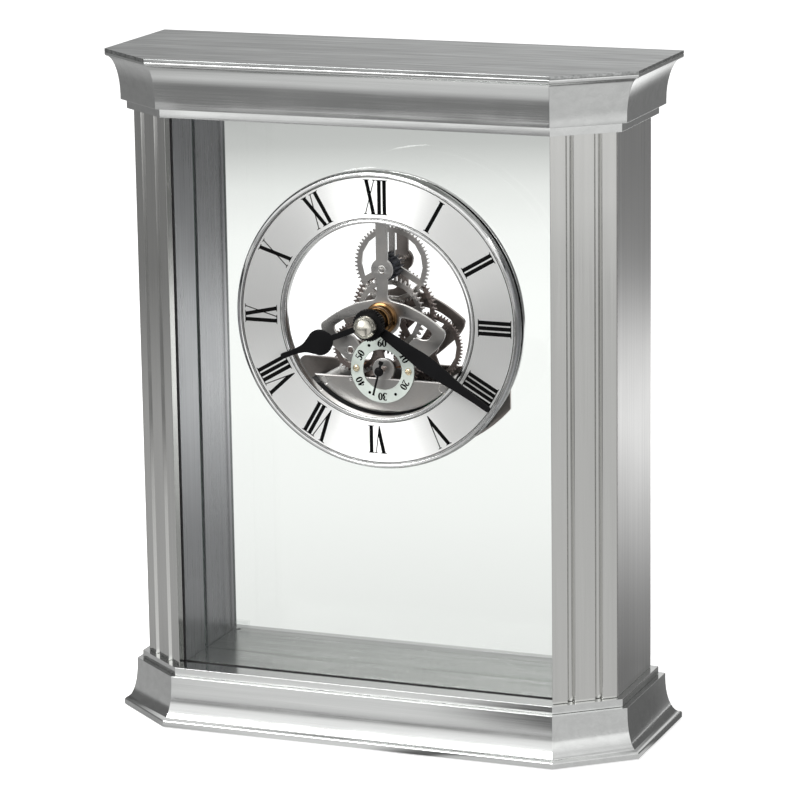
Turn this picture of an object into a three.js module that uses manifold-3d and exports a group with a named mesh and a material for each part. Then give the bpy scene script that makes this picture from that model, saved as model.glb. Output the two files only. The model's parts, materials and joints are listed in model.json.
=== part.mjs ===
// Skeleton mantel clock, as a three.js scene graph. Millimetres, +Z up, front of the clock towards -Y.
// The origin is the centre of the footprint, on the surface that the clock stands on.
import * as THREE from 'three';
import { mergeVertices } from 'three/addons/utils/BufferGeometryUtils.js';
import Module from 'manifold-3d';

const wasm = await Module();
wasm.setup();

// ---------------------------------------------------------------- driving dimensions
const WIDTH = 180.2; // base and cap, across
const DEPTH = 65.0; // base and cap, front to back
const HEIGHT = 220.7;
const OVERHANG = 8.25; // base and cap beyond the columns, all round
const CORNER_OUTER = [22.6, 18.8]; // cut-off front corners of base and cap: along X, along Y
const CORNER_COLUMN = [17.15, 13.8]; // the same cut on the columns
const BAND = 0.25; // overhang share of the base step and the cap band
const LIP = 0.47; // overhang share of the narrow end of both mouldings

const FOOT_GAP = 0.4; // the moulding stands this far off the surface, on its felt
const BASE_TOP = 16.4;
const FLOOR = 19.0;
const CEILING = 201.2;
const CAP_BOTTOM = 204.1;
const TOP_PLATE = 1.1;
const SHEET = 0.4; // floor and ceiling panels
const SKIN = 1.7; // side panels

const COLUMN_X = WIDTH / 2 - OVERHANG;
const COLUMN_Y = DEPTH / 2 - OVERHANG;
const INNER_X = COLUMN_X - CORNER_COLUMN[0];
const CHAMFER_END = -COLUMN_Y + CORNER_COLUMN[1];

const DIAL_Z = 135.6; // centre of the dial
const GLASS = [-3.2, -1.2]; // front and back faces of the pane that holds the movement
const DOOR = [19.1, 20.5]; // faces of the rear glass door
const GROOVE = 0.8; // depth of the glass grooves in the inner panels
const GLASS_GAP = 0.2;

const FRONT_PLATE = [-2.2, -1.0];
const BACK_PLATE = [16.2, 17.4];
const DIAL_R = [33.1, 46.8]; // numeral ring
const BEZEL_R = 48.7;
const OPENING_R = 31.6;
const PANE_HOLE_R = 44.5;

// arbors, relative to the centre of the dial: x, z
const CENTRE = [0, 0];
const TOP_ARBOR = [0, 15.7];
const SECONDS_ARBOR = [0, -17.0];
const LEFT_ARBOR = [-11.2, -11.4];
const RIGHT_ARBOR = [11.2, -11.4];
const ROTOR_ARBOR = [-11.2, -20.88];
const RUNNING_GAP = 0.06; // between an arbor and its hole

// hands, in degrees clockwise from twelve
const HOUR_ANGLE = 247.7;
const MINUTE_ANGLE = 122.4;
const SECOND_ANGLE = 194.7;

// ---------------------------------------------------------------- materials
const metal = (color, roughness) => new THREE.MeshStandardMaterial({ color, roughness, metalness: 1 });
const plain = (color, roughness) => new THREE.MeshStandardMaterial({ color, roughness, metalness: 0 });
const polished = metal(0xc8c9c8, 0.22);
const brushed = metal(0xa9acab, 0.42);
const chrome = metal(0xe2e3e3, 0.1);
const satinDial = metal(0xd9dad8, 0.45);
const plateMetal = metal(0x97938d, 0.35);
const wheelMetal = metal(0x8b857e, 0.4);
const brass = metal(0xb58a4e, 0.3);
const copper = metal(0xb06a3a, 0.4);
const steel = metal(0xb9b9bb, 0.3);
const handBlack = plain(0x111113, 0.5);
const darkPlastic = plain(0x34363b, 0.5);
const blackRubber = plain(0x151515, 0.8);
const felt = plain(0x202623, 0.95);
const dialWhite = plain(0xdfe6e0, 0.5);
const cellWrap = plain(0x2c4f7a, 0.4);
const board = plain(0x2d5b3a, 0.5);
const glass = new THREE.MeshStandardMaterial({
  color: 0xf2f6f5,
  roughness: 0.03,
  metalness: 0,
  transparent: true,
  opacity: 0.15,
});

const clearPlastic = glass.clone();

const clock = new THREE.Group();

// ---------------------------------------------------------------- solids
const solid = (geometry) => {
  const bare = geometry.clone();
  bare.deleteAttribute('normal');
  bare.deleteAttribute('uv');
  const merged = mergeVertices(bare, 1e-4);
  const vertProperties = new Float32Array(merged.attributes.position.array);
  const triVerts = new Uint32Array(merged.index.array);
  return new wasm.Manifold(new wasm.Mesh({ numProp: 3, vertProperties, triVerts }));
};

const surface = (body) => {
  const { vertProperties, triVerts } = body.getMesh();
  const geometry = new THREE.BufferGeometry();
  geometry.setAttribute('position', new THREE.BufferAttribute(vertProperties, 3));
  geometry.setIndex(new THREE.BufferAttribute(triVerts, 1));
  geometry.computeVertexNormals();
  return geometry;
};

const add = (name, shape, material, position = [0, 0, 0]) => {
  const geometry = shape instanceof THREE.BufferGeometry ? shape : surface(shape);
  const mesh = new THREE.Mesh(geometry, material);
  mesh.name = name;
  mesh.position.set(...position);
  clock.add(mesh);
};

const box = (x, y, z) => {
  const geometry = new THREE.BoxGeometry(x[1] - x[0], y[1] - y[0], z[1] - z[0]);
  geometry.translate((x[0] + x[1]) / 2, (y[0] + y[1]) / 2, (z[0] + z[1]) / 2);
  return solid(geometry);
};

const outline = (points) => new THREE.Shape(points.map(([x, y]) => new THREE.Vector2(x, y)));

// An outline in the X-Z plane, given thickness along Y.
const slab = (shape, [front, back], curveSegments = 12) => {
  const geometry = new THREE.ExtrudeGeometry(shape, {
    depth: back - front,
    bevelEnabled: false,
    curveSegments,
  });
  geometry.rotateX(Math.PI / 2);
  geometry.translate(0, back, 0);
  return solid(geometry);
};

// An outline in the X-Y plane, given height along Z.
const column = (points, [low, high]) => {
  const geometry = new THREE.ExtrudeGeometry(outline(points), { depth: high - low, bevelEnabled: false });
  geometry.translate(0, 0, low);
  return solid(geometry);
};

// A turned piece about the Y axis: the profile is a list of [radius, y].
const turned = (profile, segments, closed = false) => {
  const points = profile.map(([r, y]) => new THREE.Vector2(r, y));
  const path = closed ? [...points, points[0].clone()] : points;
  return solid(new THREE.LatheGeometry(path, segments));
};

const ring = (inner, outer, [front, back], segments) =>
  turned([[inner, front], [outer, front], [outer, back], [inner, back]], segments, true);

const disc = (radius, [front, back], segments = 24) =>
  turned([[0, front], [radius, front], [radius, back], [0, back]], segments);

const at = ([x, z], body) => body.translate([x, 0, z]);

const circle = ([x, z], radius, path = new THREE.Shape()) => {
  path.absarc(x, z, radius, 0, 2 * Math.PI, false);
  return path;
};

const mirrored = (points) => [...points, ...points.map(([x, z]) => [-x, z]).reverse()];

// ---------------------------------------------------------------- case
// The case outline at a share of the overhang: 0 on the columns, 1 at the edge of base and cap.
const caseOutline = (share) => {
  const half = [COLUMN_X + share * OVERHANG, COLUMN_Y + share * OVERHANG];
  const cut = [0, 1].map((i) => CORNER_COLUMN[i] + share * (CORNER_OUTER[i] - CORNER_COLUMN[i]));
  return [
    [-half[0], half[1]],
    [-half[0], -half[1] + cut[1]],
    [-half[0] + cut[0], -half[1]],
    [half[0] - cut[0], -half[1]],
    [half[0], -half[1] + cut[1]],
    [half[0], half[1]],
  ];
};

// A closed body through case outlines: levels is a list of [share, z] from bottom to top.
const loft = (levels) => {
  const rings = levels.map(([share, z]) => caseOutline(share).map(([x, y]) => [x, y, z]));
  const count = rings[0].length;
  const indices = [];
  for (let level = 0; level + 1 < rings.length; level += 1) {
    for (let i = 0; i < count; i += 1) {
      const a = level * count + i;
      const b = level * count + ((i + 1) % count);
      indices.push(a, b, b + count, a, b + count, a + count);
    }
  }
  const top = (rings.length - 1) * count;
  for (let i = 1; i + 1 < count; i += 1) {
    indices.push(0, i + 1, i);
    indices.push(top, top + i, top + i + 1);
  }
  const geometry = new THREE.BufferGeometry();
  geometry.setAttribute('position', new THREE.Float32BufferAttribute(rings.flat(2), 3));
  geometry.setIndex(indices);
  return solid(geometry);
};

// The hollow curve of both mouldings, from its wide end to its narrow one.
const COVE_STEPS = 9;
const EDGE_BAND = 1.6;
const FILLET = 0.97;
const cove = (wideZ, narrowZ) =>
  Array.from({ length: COVE_STEPS + 1 }, (_, i) => {
    const turn = (i / COVE_STEPS) * (Math.PI / 2);
    return [FILLET - (FILLET - LIP) * Math.sin(turn), narrowZ + (wideZ - narrowZ) * Math.cos(turn)];
  });

const POCKET = -0.35; // overhang share of the walls of the hollows in base and cap
const BOARD = 1.2;
const BOLT_X = (COLUMN_X + INNER_X) / 2 + 1.2;
const BOLT_Y = 8;
const BOLT_R = 2;
const BOLT_GAP = 0.25;
const BASE_WEB = 12.4;
const CAP_WEB = 207.4;
const boltHole = (sign, z) => {
  const geometry = new THREE.CylinderGeometry(BOLT_R + BOLT_GAP, BOLT_R + BOLT_GAP, z[1] - z[0], 16);
  geometry.rotateX(Math.PI / 2);
  geometry.translate(sign * BOLT_X, BOLT_Y, (z[0] + z[1]) / 2);
  return solid(geometry);
};
const drilled = (body, z) => body.subtract(boltHole(1, z)).subtract(boltHole(-1, z));

const baseCove = cove(FOOT_GAP + EDGE_BAND + 0.4, BASE_TOP - 1.4);
const baseBody = loft([[1, FOOT_GAP], [1, FOOT_GAP + EDGE_BAND], ...baseCove, [LIP, BASE_TOP]]);
const basePocket = loft([[POCKET, -1], [POCKET, BASE_WEB]]);
add('base_moulding', drilled(baseBody.subtract(basePocket), [BASE_WEB - 1, BASE_TOP + 1]), polished);
add('base_board', loft([[POCKET - 0.05, 0], [POCKET - 0.05, BOARD]]), felt);
const DOOR_PIN = [-INNER_X + 1.9, (DOOR[0] + DOOR[1]) / 2]; // the door's pivot axis: x, y
const PIN_R = 0.8;
const pinHole = (z) => {
  const geometry = new THREE.CylinderGeometry(PIN_R + 0.1, PIN_R + 0.1, z[1] - z[0], 16);
  geometry.rotateX(Math.PI / 2);
  geometry.translate(DOOR_PIN[0], DOOR_PIN[1], (z[0] + z[1]) / 2);
  return solid(geometry);
};
const step = loft([[BAND, BASE_TOP + 0.1], [BAND, FLOOR]]);
add('base_step', drilled(step, [BASE_TOP - 1, FLOOR + 1]), polished);

const PANEL_Y = [-COLUMN_Y + 6.05, COLUMN_Y - 2.2]; // floor and ceiling, front to back
const panelX = [-INNER_X + 0.15, INNER_X - 0.15];
const floorZ = [FLOOR + 0.05, FLOOR + SHEET];
const ceilingZ = [CEILING - SHEET, CEILING - 0.05];
const panel = (z) => box(panelX, PANEL_Y, z).subtract(pinHole([z[0] - 1, z[1] + 1]));
add('floor_panel', panel(floorZ), brushed);
add('ceiling_panel', panel(ceilingZ), brushed);

const band = loft([[BAND, CEILING], [BAND, CAP_BOTTOM - 0.1]]);
add('cap_band', drilled(band, [CEILING - 1, CAP_BOTTOM + 1]), polished);
const capTop = HEIGHT - TOP_PLATE;
const capCove = cove(capTop - EDGE_BAND + 0.4, CAP_BOTTOM + 1.4).reverse();
const capBody = loft([[LIP, CAP_BOTTOM], ...capCove, [1, capTop - EDGE_BAND + 0.8], [1, capTop]]);
const capPocket = loft([[POCKET, CAP_WEB], [POCKET, HEIGHT + 1]]);
add('cap_moulding', drilled(capBody.subtract(capPocket), [CAP_BOTTOM - 1, CAP_WEB + 1]), polished);
add('cap_top_plate', loft([[1, capTop + 0.02], [1, HEIGHT]]), brushed);

// Long bolts with a wide head in the base and a nut-like end in the cap.
const BOLT_HEAD = [3.6, 2.4]; // radius, height
const tieBolt = () => {
  const z = [BASE_WEB - BOLT_HEAD[1], BASE_WEB, CAP_WEB, CAP_WEB + BOLT_HEAD[1]];
  const profile = [
    [0, z[0]],
    [BOLT_HEAD[0], z[0]],
    [BOLT_HEAD[0], z[1]],
    [BOLT_R, z[1]],
    [BOLT_R, z[2]],
    [BOLT_HEAD[0], z[2]],
    [BOLT_HEAD[0], z[3]],
    [0, z[3]],
  ];
  const geometry = new THREE.LatheGeometry(profile.map(([r, h]) => new THREE.Vector2(r, h)), 12);
  geometry.rotateX(Math.PI / 2);
  return solid(geometry);
};

// One column, drawn on the right-hand side; the left one is its mirror image.
const COLUMN_Z = [FLOOR + 0.05, CEILING - 0.05];
const POLISHED_LIP = 4.0; // depth of the pilaster's inner face
const SEAM = 2.0;
const INNER_SETBACK = 1.6; // the inner panels end this far short of the side panels' rear edge
const REEDS = [[0, 0.243], [0.352, 0.667], [0.776, 1]]; // shares of the cut face
const REED_GROOVE = 1.3;
const pilasterOutline = () => {
  const start = new THREE.Vector2(INNER_X, -COLUMN_Y);
  const end = new THREE.Vector2(COLUMN_X, CHAMFER_END);
  const inward = new THREE.Vector2(start.y - end.y, end.x - start.x).normalize();
  const along = (share, depth) => {
    const point = start.clone().lerp(end, share).addScaledVector(inward, depth);
    return [point.x, point.y];
  };
  const slope = 0.028;
  const face = REEDS.flatMap(([from, to], i) => {
    const points = [];
    if (i > 0) points.push(along(from - slope, REED_GROOVE));
    points.push(along(from, 0), along(to, 0));
    if (i + 1 < REEDS.length) points.push(along(to + slope, REED_GROOVE));
    return points;
  });
  return [
    ...face,
    [COLUMN_X, CHAMFER_END + 0.6],
    [INNER_X + SKIN + 0.3, CHAMFER_END + 0.6],
    [INNER_X + SKIN + 0.3, -COLUMN_Y + POLISHED_LIP],
    [INNER_X, -COLUMN_Y + POLISHED_LIP],
  ];
};
const sideOutline = () => [
  [COLUMN_X, CHAMFER_END + 0.7],
  [COLUMN_X, COLUMN_Y],
  [INNER_X + SKIN + 0.1, COLUMN_Y],
  [INNER_X + SKIN + 0.1, COLUMN_Y - SKIN],
  [COLUMN_X - SKIN, COLUMN_Y - SKIN],
  [COLUMN_X - SKIN, CHAMFER_END + 0.7],
];
const innerOutline = () => [
  [INNER_X, -COLUMN_Y + POLISHED_LIP + SEAM],
  [INNER_X + SKIN, -COLUMN_Y + POLISHED_LIP + SEAM],
  [INNER_X + SKIN, COLUMN_Y - INNER_SETBACK],
  [INNER_X, COLUMN_Y - INNER_SETBACK],
  [INNER_X, GLASS[1] + GLASS_GAP],
  [INNER_X + GROOVE, GLASS[1] + GLASS_GAP],
  [INNER_X + GROOVE, GLASS[0] - GLASS_GAP],
  [INNER_X, GLASS[0] - GLASS_GAP],
];
const gasketOutline = () => [
  [INNER_X + 0.9, -COLUMN_Y + POLISHED_LIP + 0.1],
  [INNER_X + SKIN, -COLUMN_Y + POLISHED_LIP + 0.1],
  [INNER_X + SKIN, -COLUMN_Y + POLISHED_LIP + SEAM - 0.1],
  [INNER_X + 0.9, -COLUMN_Y + POLISHED_LIP + SEAM - 0.1],
];
for (const side of ['right', 'left']) {
  const sided = (body) => (side === 'right' ? body : body.mirror([1, 0, 0]));
  add(`${side}_pilaster`, sided(column(pilasterOutline(), COLUMN_Z)), polished);
  add(`${side}_side_panel`, sided(column(sideOutline(), COLUMN_Z)), brushed);
  add(`${side}_inner_panel`, sided(column(innerOutline(), COLUMN_Z)), brushed);
  add(`${side}_gasket`, sided(column(gasketOutline(), COLUMN_Z)), blackRubber);
  add(`${side}_tie_bolt`, sided(tieBolt().translate([BOLT_X, BOLT_Y, 0])), steel);
}

// ---------------------------------------------------------------- glass
const paneX = INNER_X + GROOVE - GLASS_GAP;
const pane = box([-paneX, paneX], GLASS, [FLOOR + SHEET + 0.1, CEILING - SHEET - 0.1]);
const paneHole = at([0, DIAL_Z], disc(PANE_HOLE_R, [GLASS[0] - 1, GLASS[1] + 1], 64));
add('movement_glass', pane.subtract(paneHole), glass);

const DOOR_Z = [FLOOR + SHEET + 0.9, CEILING - SHEET - 0.9];
const doorX = [DOOR_PIN[0] - 1.2, INNER_X - 0.6];
const KNOB_X = doorX[1] - 9;
const doorHole = at([KNOB_X, 110], disc(1.5, [DOOR[0] - 1, DOOR[1] + 1], 16));
add('rear_door_glass', box(doorX, DOOR, DOOR_Z).subtract(doorHole), glass);

// Folded clips over the door's corners, each with a pin into the floor or the ceiling.
const CLIP = [5, 0.5, 2.2]; // length, wall, reach onto the glass
const doorClip = (edgeZ, pinEndZ) => {
  const up = Math.sign(edgeZ - pinEndZ);
  const inside = edgeZ + up * CLIP[2];
  const outside = edgeZ - up * CLIP[1];
  const span = (a, b) => [Math.min(a, b), Math.max(a, b)];
  const x = [doorX[0] - 0.1, doorX[0] + CLIP[0]];
  const y = [DOOR[0] - CLIP[1], DOOR[1] + CLIP[1]];
  const shell = box(x, y, span(outside, inside));
  const glassRoom = [DOOR[0] - 0.05, DOOR[1] + 0.05];
  const room = box([x[0] - 1, x[1] + 1], glassRoom, span(edgeZ - up * 0.05, inside + up));
  const length = Math.abs(outside - pinEndZ);
  const pin = new THREE.CylinderGeometry(PIN_R, PIN_R, length + 0.2, 16);
  pin.rotateX(Math.PI / 2);
  pin.translate(DOOR_PIN[0], DOOR_PIN[1], (outside + up * 0.2 + pinEndZ) / 2);
  return shell.subtract(room).add(solid(pin));
};
add('door_pivot_lower', doorClip(DOOR_Z[0], FLOOR + 0.1), clearPlastic);
add('door_pivot_upper', doorClip(DOOR_Z[1], CEILING - 0.1), clearPlastic);
const knobProfile = [
  [0, DOOR[0] - 0.9],
  [2.6, DOOR[0] - 0.9],
  [2.6, DOOR[0] - 0.05],
  [1.35, DOOR[0] - 0.05],
  [1.35, DOOR[1] + 0.05],
  [2.6, DOOR[1] + 0.05],
  [3.6, DOOR[1] + 1.6],
  [3.6, DOOR[1] + 3.2],
  [2.8, DOOR[1] + 3.9],
  [0, DOOR[1] + 3.9],
];
add('door_knob', turned(knobProfile, 20), chrome, [KNOB_X, 0, 110]);

// ---------------------------------------------------------------- dial
const RING_SEGMENTS = 48;
const DIAL_FACE = -7.1;
const dialCentre = [0, 0, DIAL_Z];
const bezelProfile = [
  [43.3, -5.9],
  [DIAL_R[1] + 0.1, -5.9],
  [DIAL_R[1] + 0.1, -7.4],
  [DIAL_R[1] + 0.5, -7.9],
  [BEZEL_R - 0.6, -7.5],
  [BEZEL_R - 0.1, -6.6],
  [BEZEL_R, -5.7],
  [BEZEL_R - 0.7, -4.4],
  [BEZEL_R - 1.7, GLASS[0] - 0.05],
  [44.1, GLASS[0] - 0.05],
  [44.1, 0.5],
  [43.3, 0.5],
];
add('bezel_ring', turned(bezelProfile, RING_SEGMENTS, true), chrome, dialCentre);
add('dial_ring', ring(DIAL_R[0], DIAL_R[1], [DIAL_FACE, -6.2], RING_SEGMENTS), satinDial, dialCentre);
// One turned ring: its polished lip frames the opening, and its flange carries the numeral ring.
const carrierProfile = [
  [OPENING_R, -6.6],
  [OPENING_R + 0.35, -7.6],
  [DIAL_R[0] - 0.6, -7.8],
  [DIAL_R[0] - 0.05, DIAL_FACE],
  [DIAL_R[0] - 0.05, -6.1],
  [43.1, -6.1],
  [43.1, -2.5],
  [41.5, -2.5],
  [41.5, -4.4],
  [OPENING_R, -4.4],
];
add('carrier_ring', turned(carrierProfile, RING_SEGMENTS, true), chrome, dialCentre);
add('clamp_ring', ring(44.25, 47.8, [GLASS[1] + 0.05, 0.4], RING_SEGMENTS), steel, dialCentre);

// ---------------------------------------------------------------- movement plates
const BOSS_R = 3.7;
const HUB_R = 6.1;
const LOWER_EDGE = -20.0; // top edge of the lower part of the front plate
const LOWER_R = 31.2;
const arc = (radius, fromDegrees, toDegrees, steps) =>
  Array.from({ length: steps + 1 }, (_, i) => {
    const angle = THREE.MathUtils.degToRad(fromDegrees + ((toDegrees - fromDegrees) * i) / steps);
    return [radius * Math.cos(angle), radius * Math.sin(angle)];
  });
const shieldHalf = [
  [1.8, 7.6],
  [2.2, 6.4],
  [3.4, 5.6],
  [7.5, 4.7],
  [12.5, 2.7],
  [17.0, 0.1],
  [20.6, -2.5],
  [21.4, -3.6],
  [21.3, -4.8],
  [20.0, -7.4],
  [15.2, -12.2],
  [10.4, -16.2],
  [10.4, LOWER_EDGE - 1],
];
const lobeHalf = [
  [3.0, 1.0],
  [6.2, 0.5],
  [9.5, -0.1],
  [12.9, -1.2],
  [16.2, -3.2],
  [16.8, -4.5],
  [15.9, -5.9],
  [14.6, -6.4],
  [11.9, -5.7],
  [10.1, -6.7],
  [8.4, -8.9],
  [6.4, -11.2],
  [6.9, -15.0],
  [6.9, LOWER_EDGE],
];
const shield = () => outline(mirrored(shieldHalf));
const lobes = () => outline(mirrored(lobeHalf));
const segment = (radius, edge) => {
  const start = THREE.MathUtils.radToDeg(Math.asin(edge / radius));
  return outline(arc(radius, -180 - start, start, 40));
};
const arm = (top) => outline([[-1.8, 6], [1.8, 6], [2.0, 15], [2.0, top], [-2.0, top], [-2.0, 15]]);

const pivotHole = (centre, radius, faces) =>
  at(centre, disc(radius + RUNNING_GAP, faces, radius > 2 ? 24 : 10));
const PIVOT_R = 0.7; // arbor ends
const ROTOR_PIVOT_R = 0.4;
const TUBE_R = 3.2; // brass centre bushing
const [plateFront, plateBack] = FRONT_PLATE;
const cutFront = [plateFront - 1, plateBack + 1];
const cutBack = [BACK_PLATE[0] - 1, BACK_PLATE[1] + 1];
const PILLARS = { pillar_top: [0, 34.5], pillar_left: [-20.4, -21.9], pillar_right: [20.4, -21.9] };
const TENON_R = 1.2;

let frontPlate = slab(shield(), FRONT_PLATE)
  .add(slab(arm(38.5), FRONT_PLATE))
  .add(slab(segment(LOWER_R, LOWER_EDGE), FRONT_PLATE))
  .subtract(slab(lobes(), cutFront))
  .add(slab(circle(TOP_ARBOR, BOSS_R), FRONT_PLATE))
  .add(slab(circle(CENTRE, HUB_R), FRONT_PLATE))
  .add(slab(circle(SECONDS_ARBOR, BOSS_R), FRONT_PLATE));
const frontHoles = [
  [TOP_ARBOR, PIVOT_R],
  [LEFT_ARBOR, PIVOT_R],
  [RIGHT_ARBOR, PIVOT_R],
  [SECONDS_ARBOR, PIVOT_R],
  [CENTRE, TUBE_R],
  [ROTOR_ARBOR, ROTOR_PIVOT_R],
  ...Object.values(PILLARS).map((centre) => [centre, TENON_R]),
];
for (const [centre, radius] of frontHoles) {
  frontPlate = frontPlate.subtract(pivotHole(centre, radius, cutFront));
}
const SCREW_X = 9.0; // seconds dial screws, either side of the seconds arbor
const SCREW_R = 0.6;
for (const sign of [-1, 1]) {
  frontPlate = frontPlate.subtract(pivotHole([sign * SCREW_X, SECONDS_ARBOR[1]], SCREW_R, cutFront));
}
add('front_plate', frontPlate, plateMetal, dialCentre);

const REAR_R = 48.5;
const REAR_HALF = 36.8;
const REAR_EDGE = -18.6;
const CELL_Z = -32.0; // axis of the battery cell
const CELL_R = 7.2;
const CELL_ROOM = [26.2, CELL_R + 0.3]; // half width and half height of the battery opening
const rearFoot = () => {
  const side = -Math.sqrt(REAR_R ** 2 - REAR_HALF ** 2);
  const end = THREE.MathUtils.radToDeg(Math.atan2(side, REAR_HALF));
  const round = 2.2;
  const corner = [
    [REAR_HALF, REAR_EDGE - round],
    [REAR_HALF - 0.3 * round, REAR_EDGE - 0.3 * round],
    [REAR_HALF - round, REAR_EDGE],
  ];
  const top = [...corner, ...corner.map(([x, z]) => [-x, z]).reverse()];
  return outline([...arc(REAR_R, -180 - end, end, 28), ...top]);
};
const cellReach = [CELL_Z - CELL_ROOM[1], CELL_Z + CELL_ROOM[1]];
const cellWindow = box([-CELL_ROOM[0], CELL_ROOM[0]], cutBack, cellReach);
let backPlate = slab(shield(), BACK_PLATE)
  .add(slab(arm(42.6), BACK_PLATE))
  .subtract(slab(lobes(), cutBack))
  .add(slab(circle(TOP_ARBOR, BOSS_R), BACK_PLATE))
  .add(slab(circle(CENTRE, HUB_R), BACK_PLATE))
  .add(slab(rearFoot(), BACK_PLATE))
  .add(slab(circle(SECONDS_ARBOR, BOSS_R), BACK_PLATE))
  .subtract(cellWindow);
const CENTRE_ARBOR_R = 1.0;
const backHoles = [
  [TOP_ARBOR, PIVOT_R],
  [LEFT_ARBOR, PIVOT_R],
  [RIGHT_ARBOR, PIVOT_R],
  [SECONDS_ARBOR, PIVOT_R],
  [CENTRE, CENTRE_ARBOR_R],
  ...Object.values(PILLARS).map((centre) => [centre, TENON_R]),
];
for (const [centre, radius] of backHoles) {
  backPlate = backPlate.subtract(pivotHole(centre, radius, cutBack));
}
add('back_plate', backPlate, plateMetal, dialCentre);

// Turned pillars with a riveted tenon through each plate.
for (const [name, [x, z]] of Object.entries(PILLARS)) {
  const profile = [
    [0, plateFront - 0.3],
    [TENON_R, plateFront - 0.3],
    [TENON_R, plateBack + 0.05],
    [1.7, plateBack + 0.05],
    [1.7, BACK_PLATE[0] - 0.05],
    [TENON_R, BACK_PLATE[0] - 0.05],
    [TENON_R, BACK_PLATE[1] + 0.3],
    [0, BACK_PLATE[1] + 0.3],
  ];
  add(name, turned(profile, 10), steel, [x, 0, DIAL_Z + z]);
}
const PIPE_R = 2.4; // hour pipe
const bushingProfile = [
  [PIPE_R + 0.15, plateBack + 0.3],
  [TUBE_R, plateBack + 0.3],
  [TUBE_R, plateFront - 0.05],
  [5.3, plateFront - 0.05],
  [5.3, plateFront - 1.3],
  [4.4, plateFront - 1.5],
  [4.4, plateFront - 5.0],
  [PIPE_R + 0.15, plateFront - 5.0],
].reverse();
add('centre_bushing', turned(bushingProfile, 24, true), brass, dialCentre);

// ---------------------------------------------------------------- seconds dial
const secondsCentre = [0, 0, DIAL_Z + SECONDS_ARBOR[1]];
const SECONDS_DIAL = [plateFront - 0.55, plateFront - 0.05];
let secondsDial = ring(6.7, 10.9, SECONDS_DIAL, 40);
for (const sign of [-1, 1]) {
  secondsDial = secondsDial.subtract(pivotHole([sign * SCREW_X, 0], SCREW_R, cutFront));
  const screw = [
    [0, SECONDS_DIAL[0] - 0.6],
    [0.8, SECONDS_DIAL[0] - 0.5],
    [1.15, SECONDS_DIAL[0] - 0.05],
    [SCREW_R, SECONDS_DIAL[0] - 0.05],
    [SCREW_R, plateBack + 0.1],
    [0, plateBack + 0.1],
  ];
  const name = sign < 0 ? 'seconds_dial_screw_left' : 'seconds_dial_screw_right';
  add(name, turned(screw, 10), brass, [sign * SCREW_X, 0, secondsCentre[2]]);
}
add('seconds_dial', secondsDial, dialWhite, secondsCentre);

// ---------------------------------------------------------------- gears
const distance = (a, b) => Math.hypot(b[0] - a[0], b[1] - a[1]);
const bearing = (a, b) => Math.atan2(b[1] - a[1], b[0] - a[0]);
const pitchModule = (a, b, teethA, teethB) => (2 * distance(a, b)) / (teethA + teethB);

// The angle of a tooth on gear b that meshes with gear a at rest.
const meshAngle = (a, angleA, teethA, b, teethB) => {
  const line = bearing(a, b);
  return line + Math.PI + Math.PI / teethB - ((angleA - line) * teethA) / teethB;
};

// A toothed outline: each flank is a list of [height in modules, half width as a share of the pitch].
const WHEEL_TOOTH = [[-1.3, 0.3], [0.85, 0.09]];
const PINION_TOOTH = [[-1.35, 0.14], [0, 0.15], [0.75, 0.07]];
const toothed = (teeth, module, angle, tooth) => {
  const pitchR = (teeth * module) / 2;
  const points = [];
  for (let i = 0; i < teeth; i += 1) {
    const centre = angle + (2 * Math.PI * i) / teeth;
    const flank = (sign) =>
      tooth.map(([height, half]) => {
        const radius = pitchR + height * module;
        const turn = centre + (sign * half * 2 * Math.PI) / teeth;
        return [radius * Math.cos(turn), radius * Math.sin(turn)];
      });
    points.push(...flank(-1), ...flank(1).reverse());
  }
  return outline(points);
};

// Openings between spokes, as holes in a wheel's outline.
const crossed = (shape, { rim, hub, spokes, width, angle }) => {
  const steps = 5;
  for (let i = 0; i < spokes; i += 1) {
    const side = (radius) => Math.asin(width / 2 / radius);
    const from = angle + (2 * Math.PI * i) / spokes;
    const to = angle + (2 * Math.PI * (i + 1)) / spokes;
    const curve = (radius, a, b) =>
      Array.from({ length: steps + 1 }, (_, k) => {
        const turn = a + ((b - a) * k) / steps;
        return new THREE.Vector2(radius * Math.cos(turn), radius * Math.sin(turn));
      });
    const outer = curve(rim, from + side(rim), to - side(rim));
    const inner = curve(hub, to - side(hub), from + side(hub));
    shape.holes.push(new THREE.Path([...outer, ...inner]));
  }
  return shape;
};

// A turned arbor: stations are [radius, y] pairs, from the front end to the back end.
const arbor = (stations, segments = 10) => {
  const profile = [[0, stations[0][1]]];
  stations.forEach(([radius, y], i) => {
    profile.push([radius, y]);
    const next = stations[i + 1];
    if (next && next[0] !== radius) profile.push([next[0], y]);
  });
  profile.push([0, stations.at(-1)[1]]);
  const repeats = ([r, y], i) => i > 0 && r === profile[i - 1][0] && y === profile[i - 1][1];
  return turned(profile.filter((point, i) => !repeats(point, i)), segments);
};

// teeth of each meshing pair
const T = {
  rotor: 8,
  intermediate: 40,
  intermediatePinion: 8,
  seconds: 48,
  secondsPinion: 8,
  third: 60,
  thirdPinion: 8,
  centre: 64,
  cannon: 15,
  minute: 60,
  minutePinion: 14,
  hour: 42,
};
// places of the wheels along Y
const SECONDS_LAYER = [0.2, 1.1];
const INTERMEDIATE_LAYER = [2.4, 3.3];
const HOUR_LAYER = [4.4, 5.4];
const MINUTE_LAYER = [6.9, 7.8];
const CENTRE_LAYER = [8.7, 9.6];
const THIRD_LAYER = [10.7, 11.6];
const grown = ([front, back], by) => [front - by, back + by];

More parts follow.
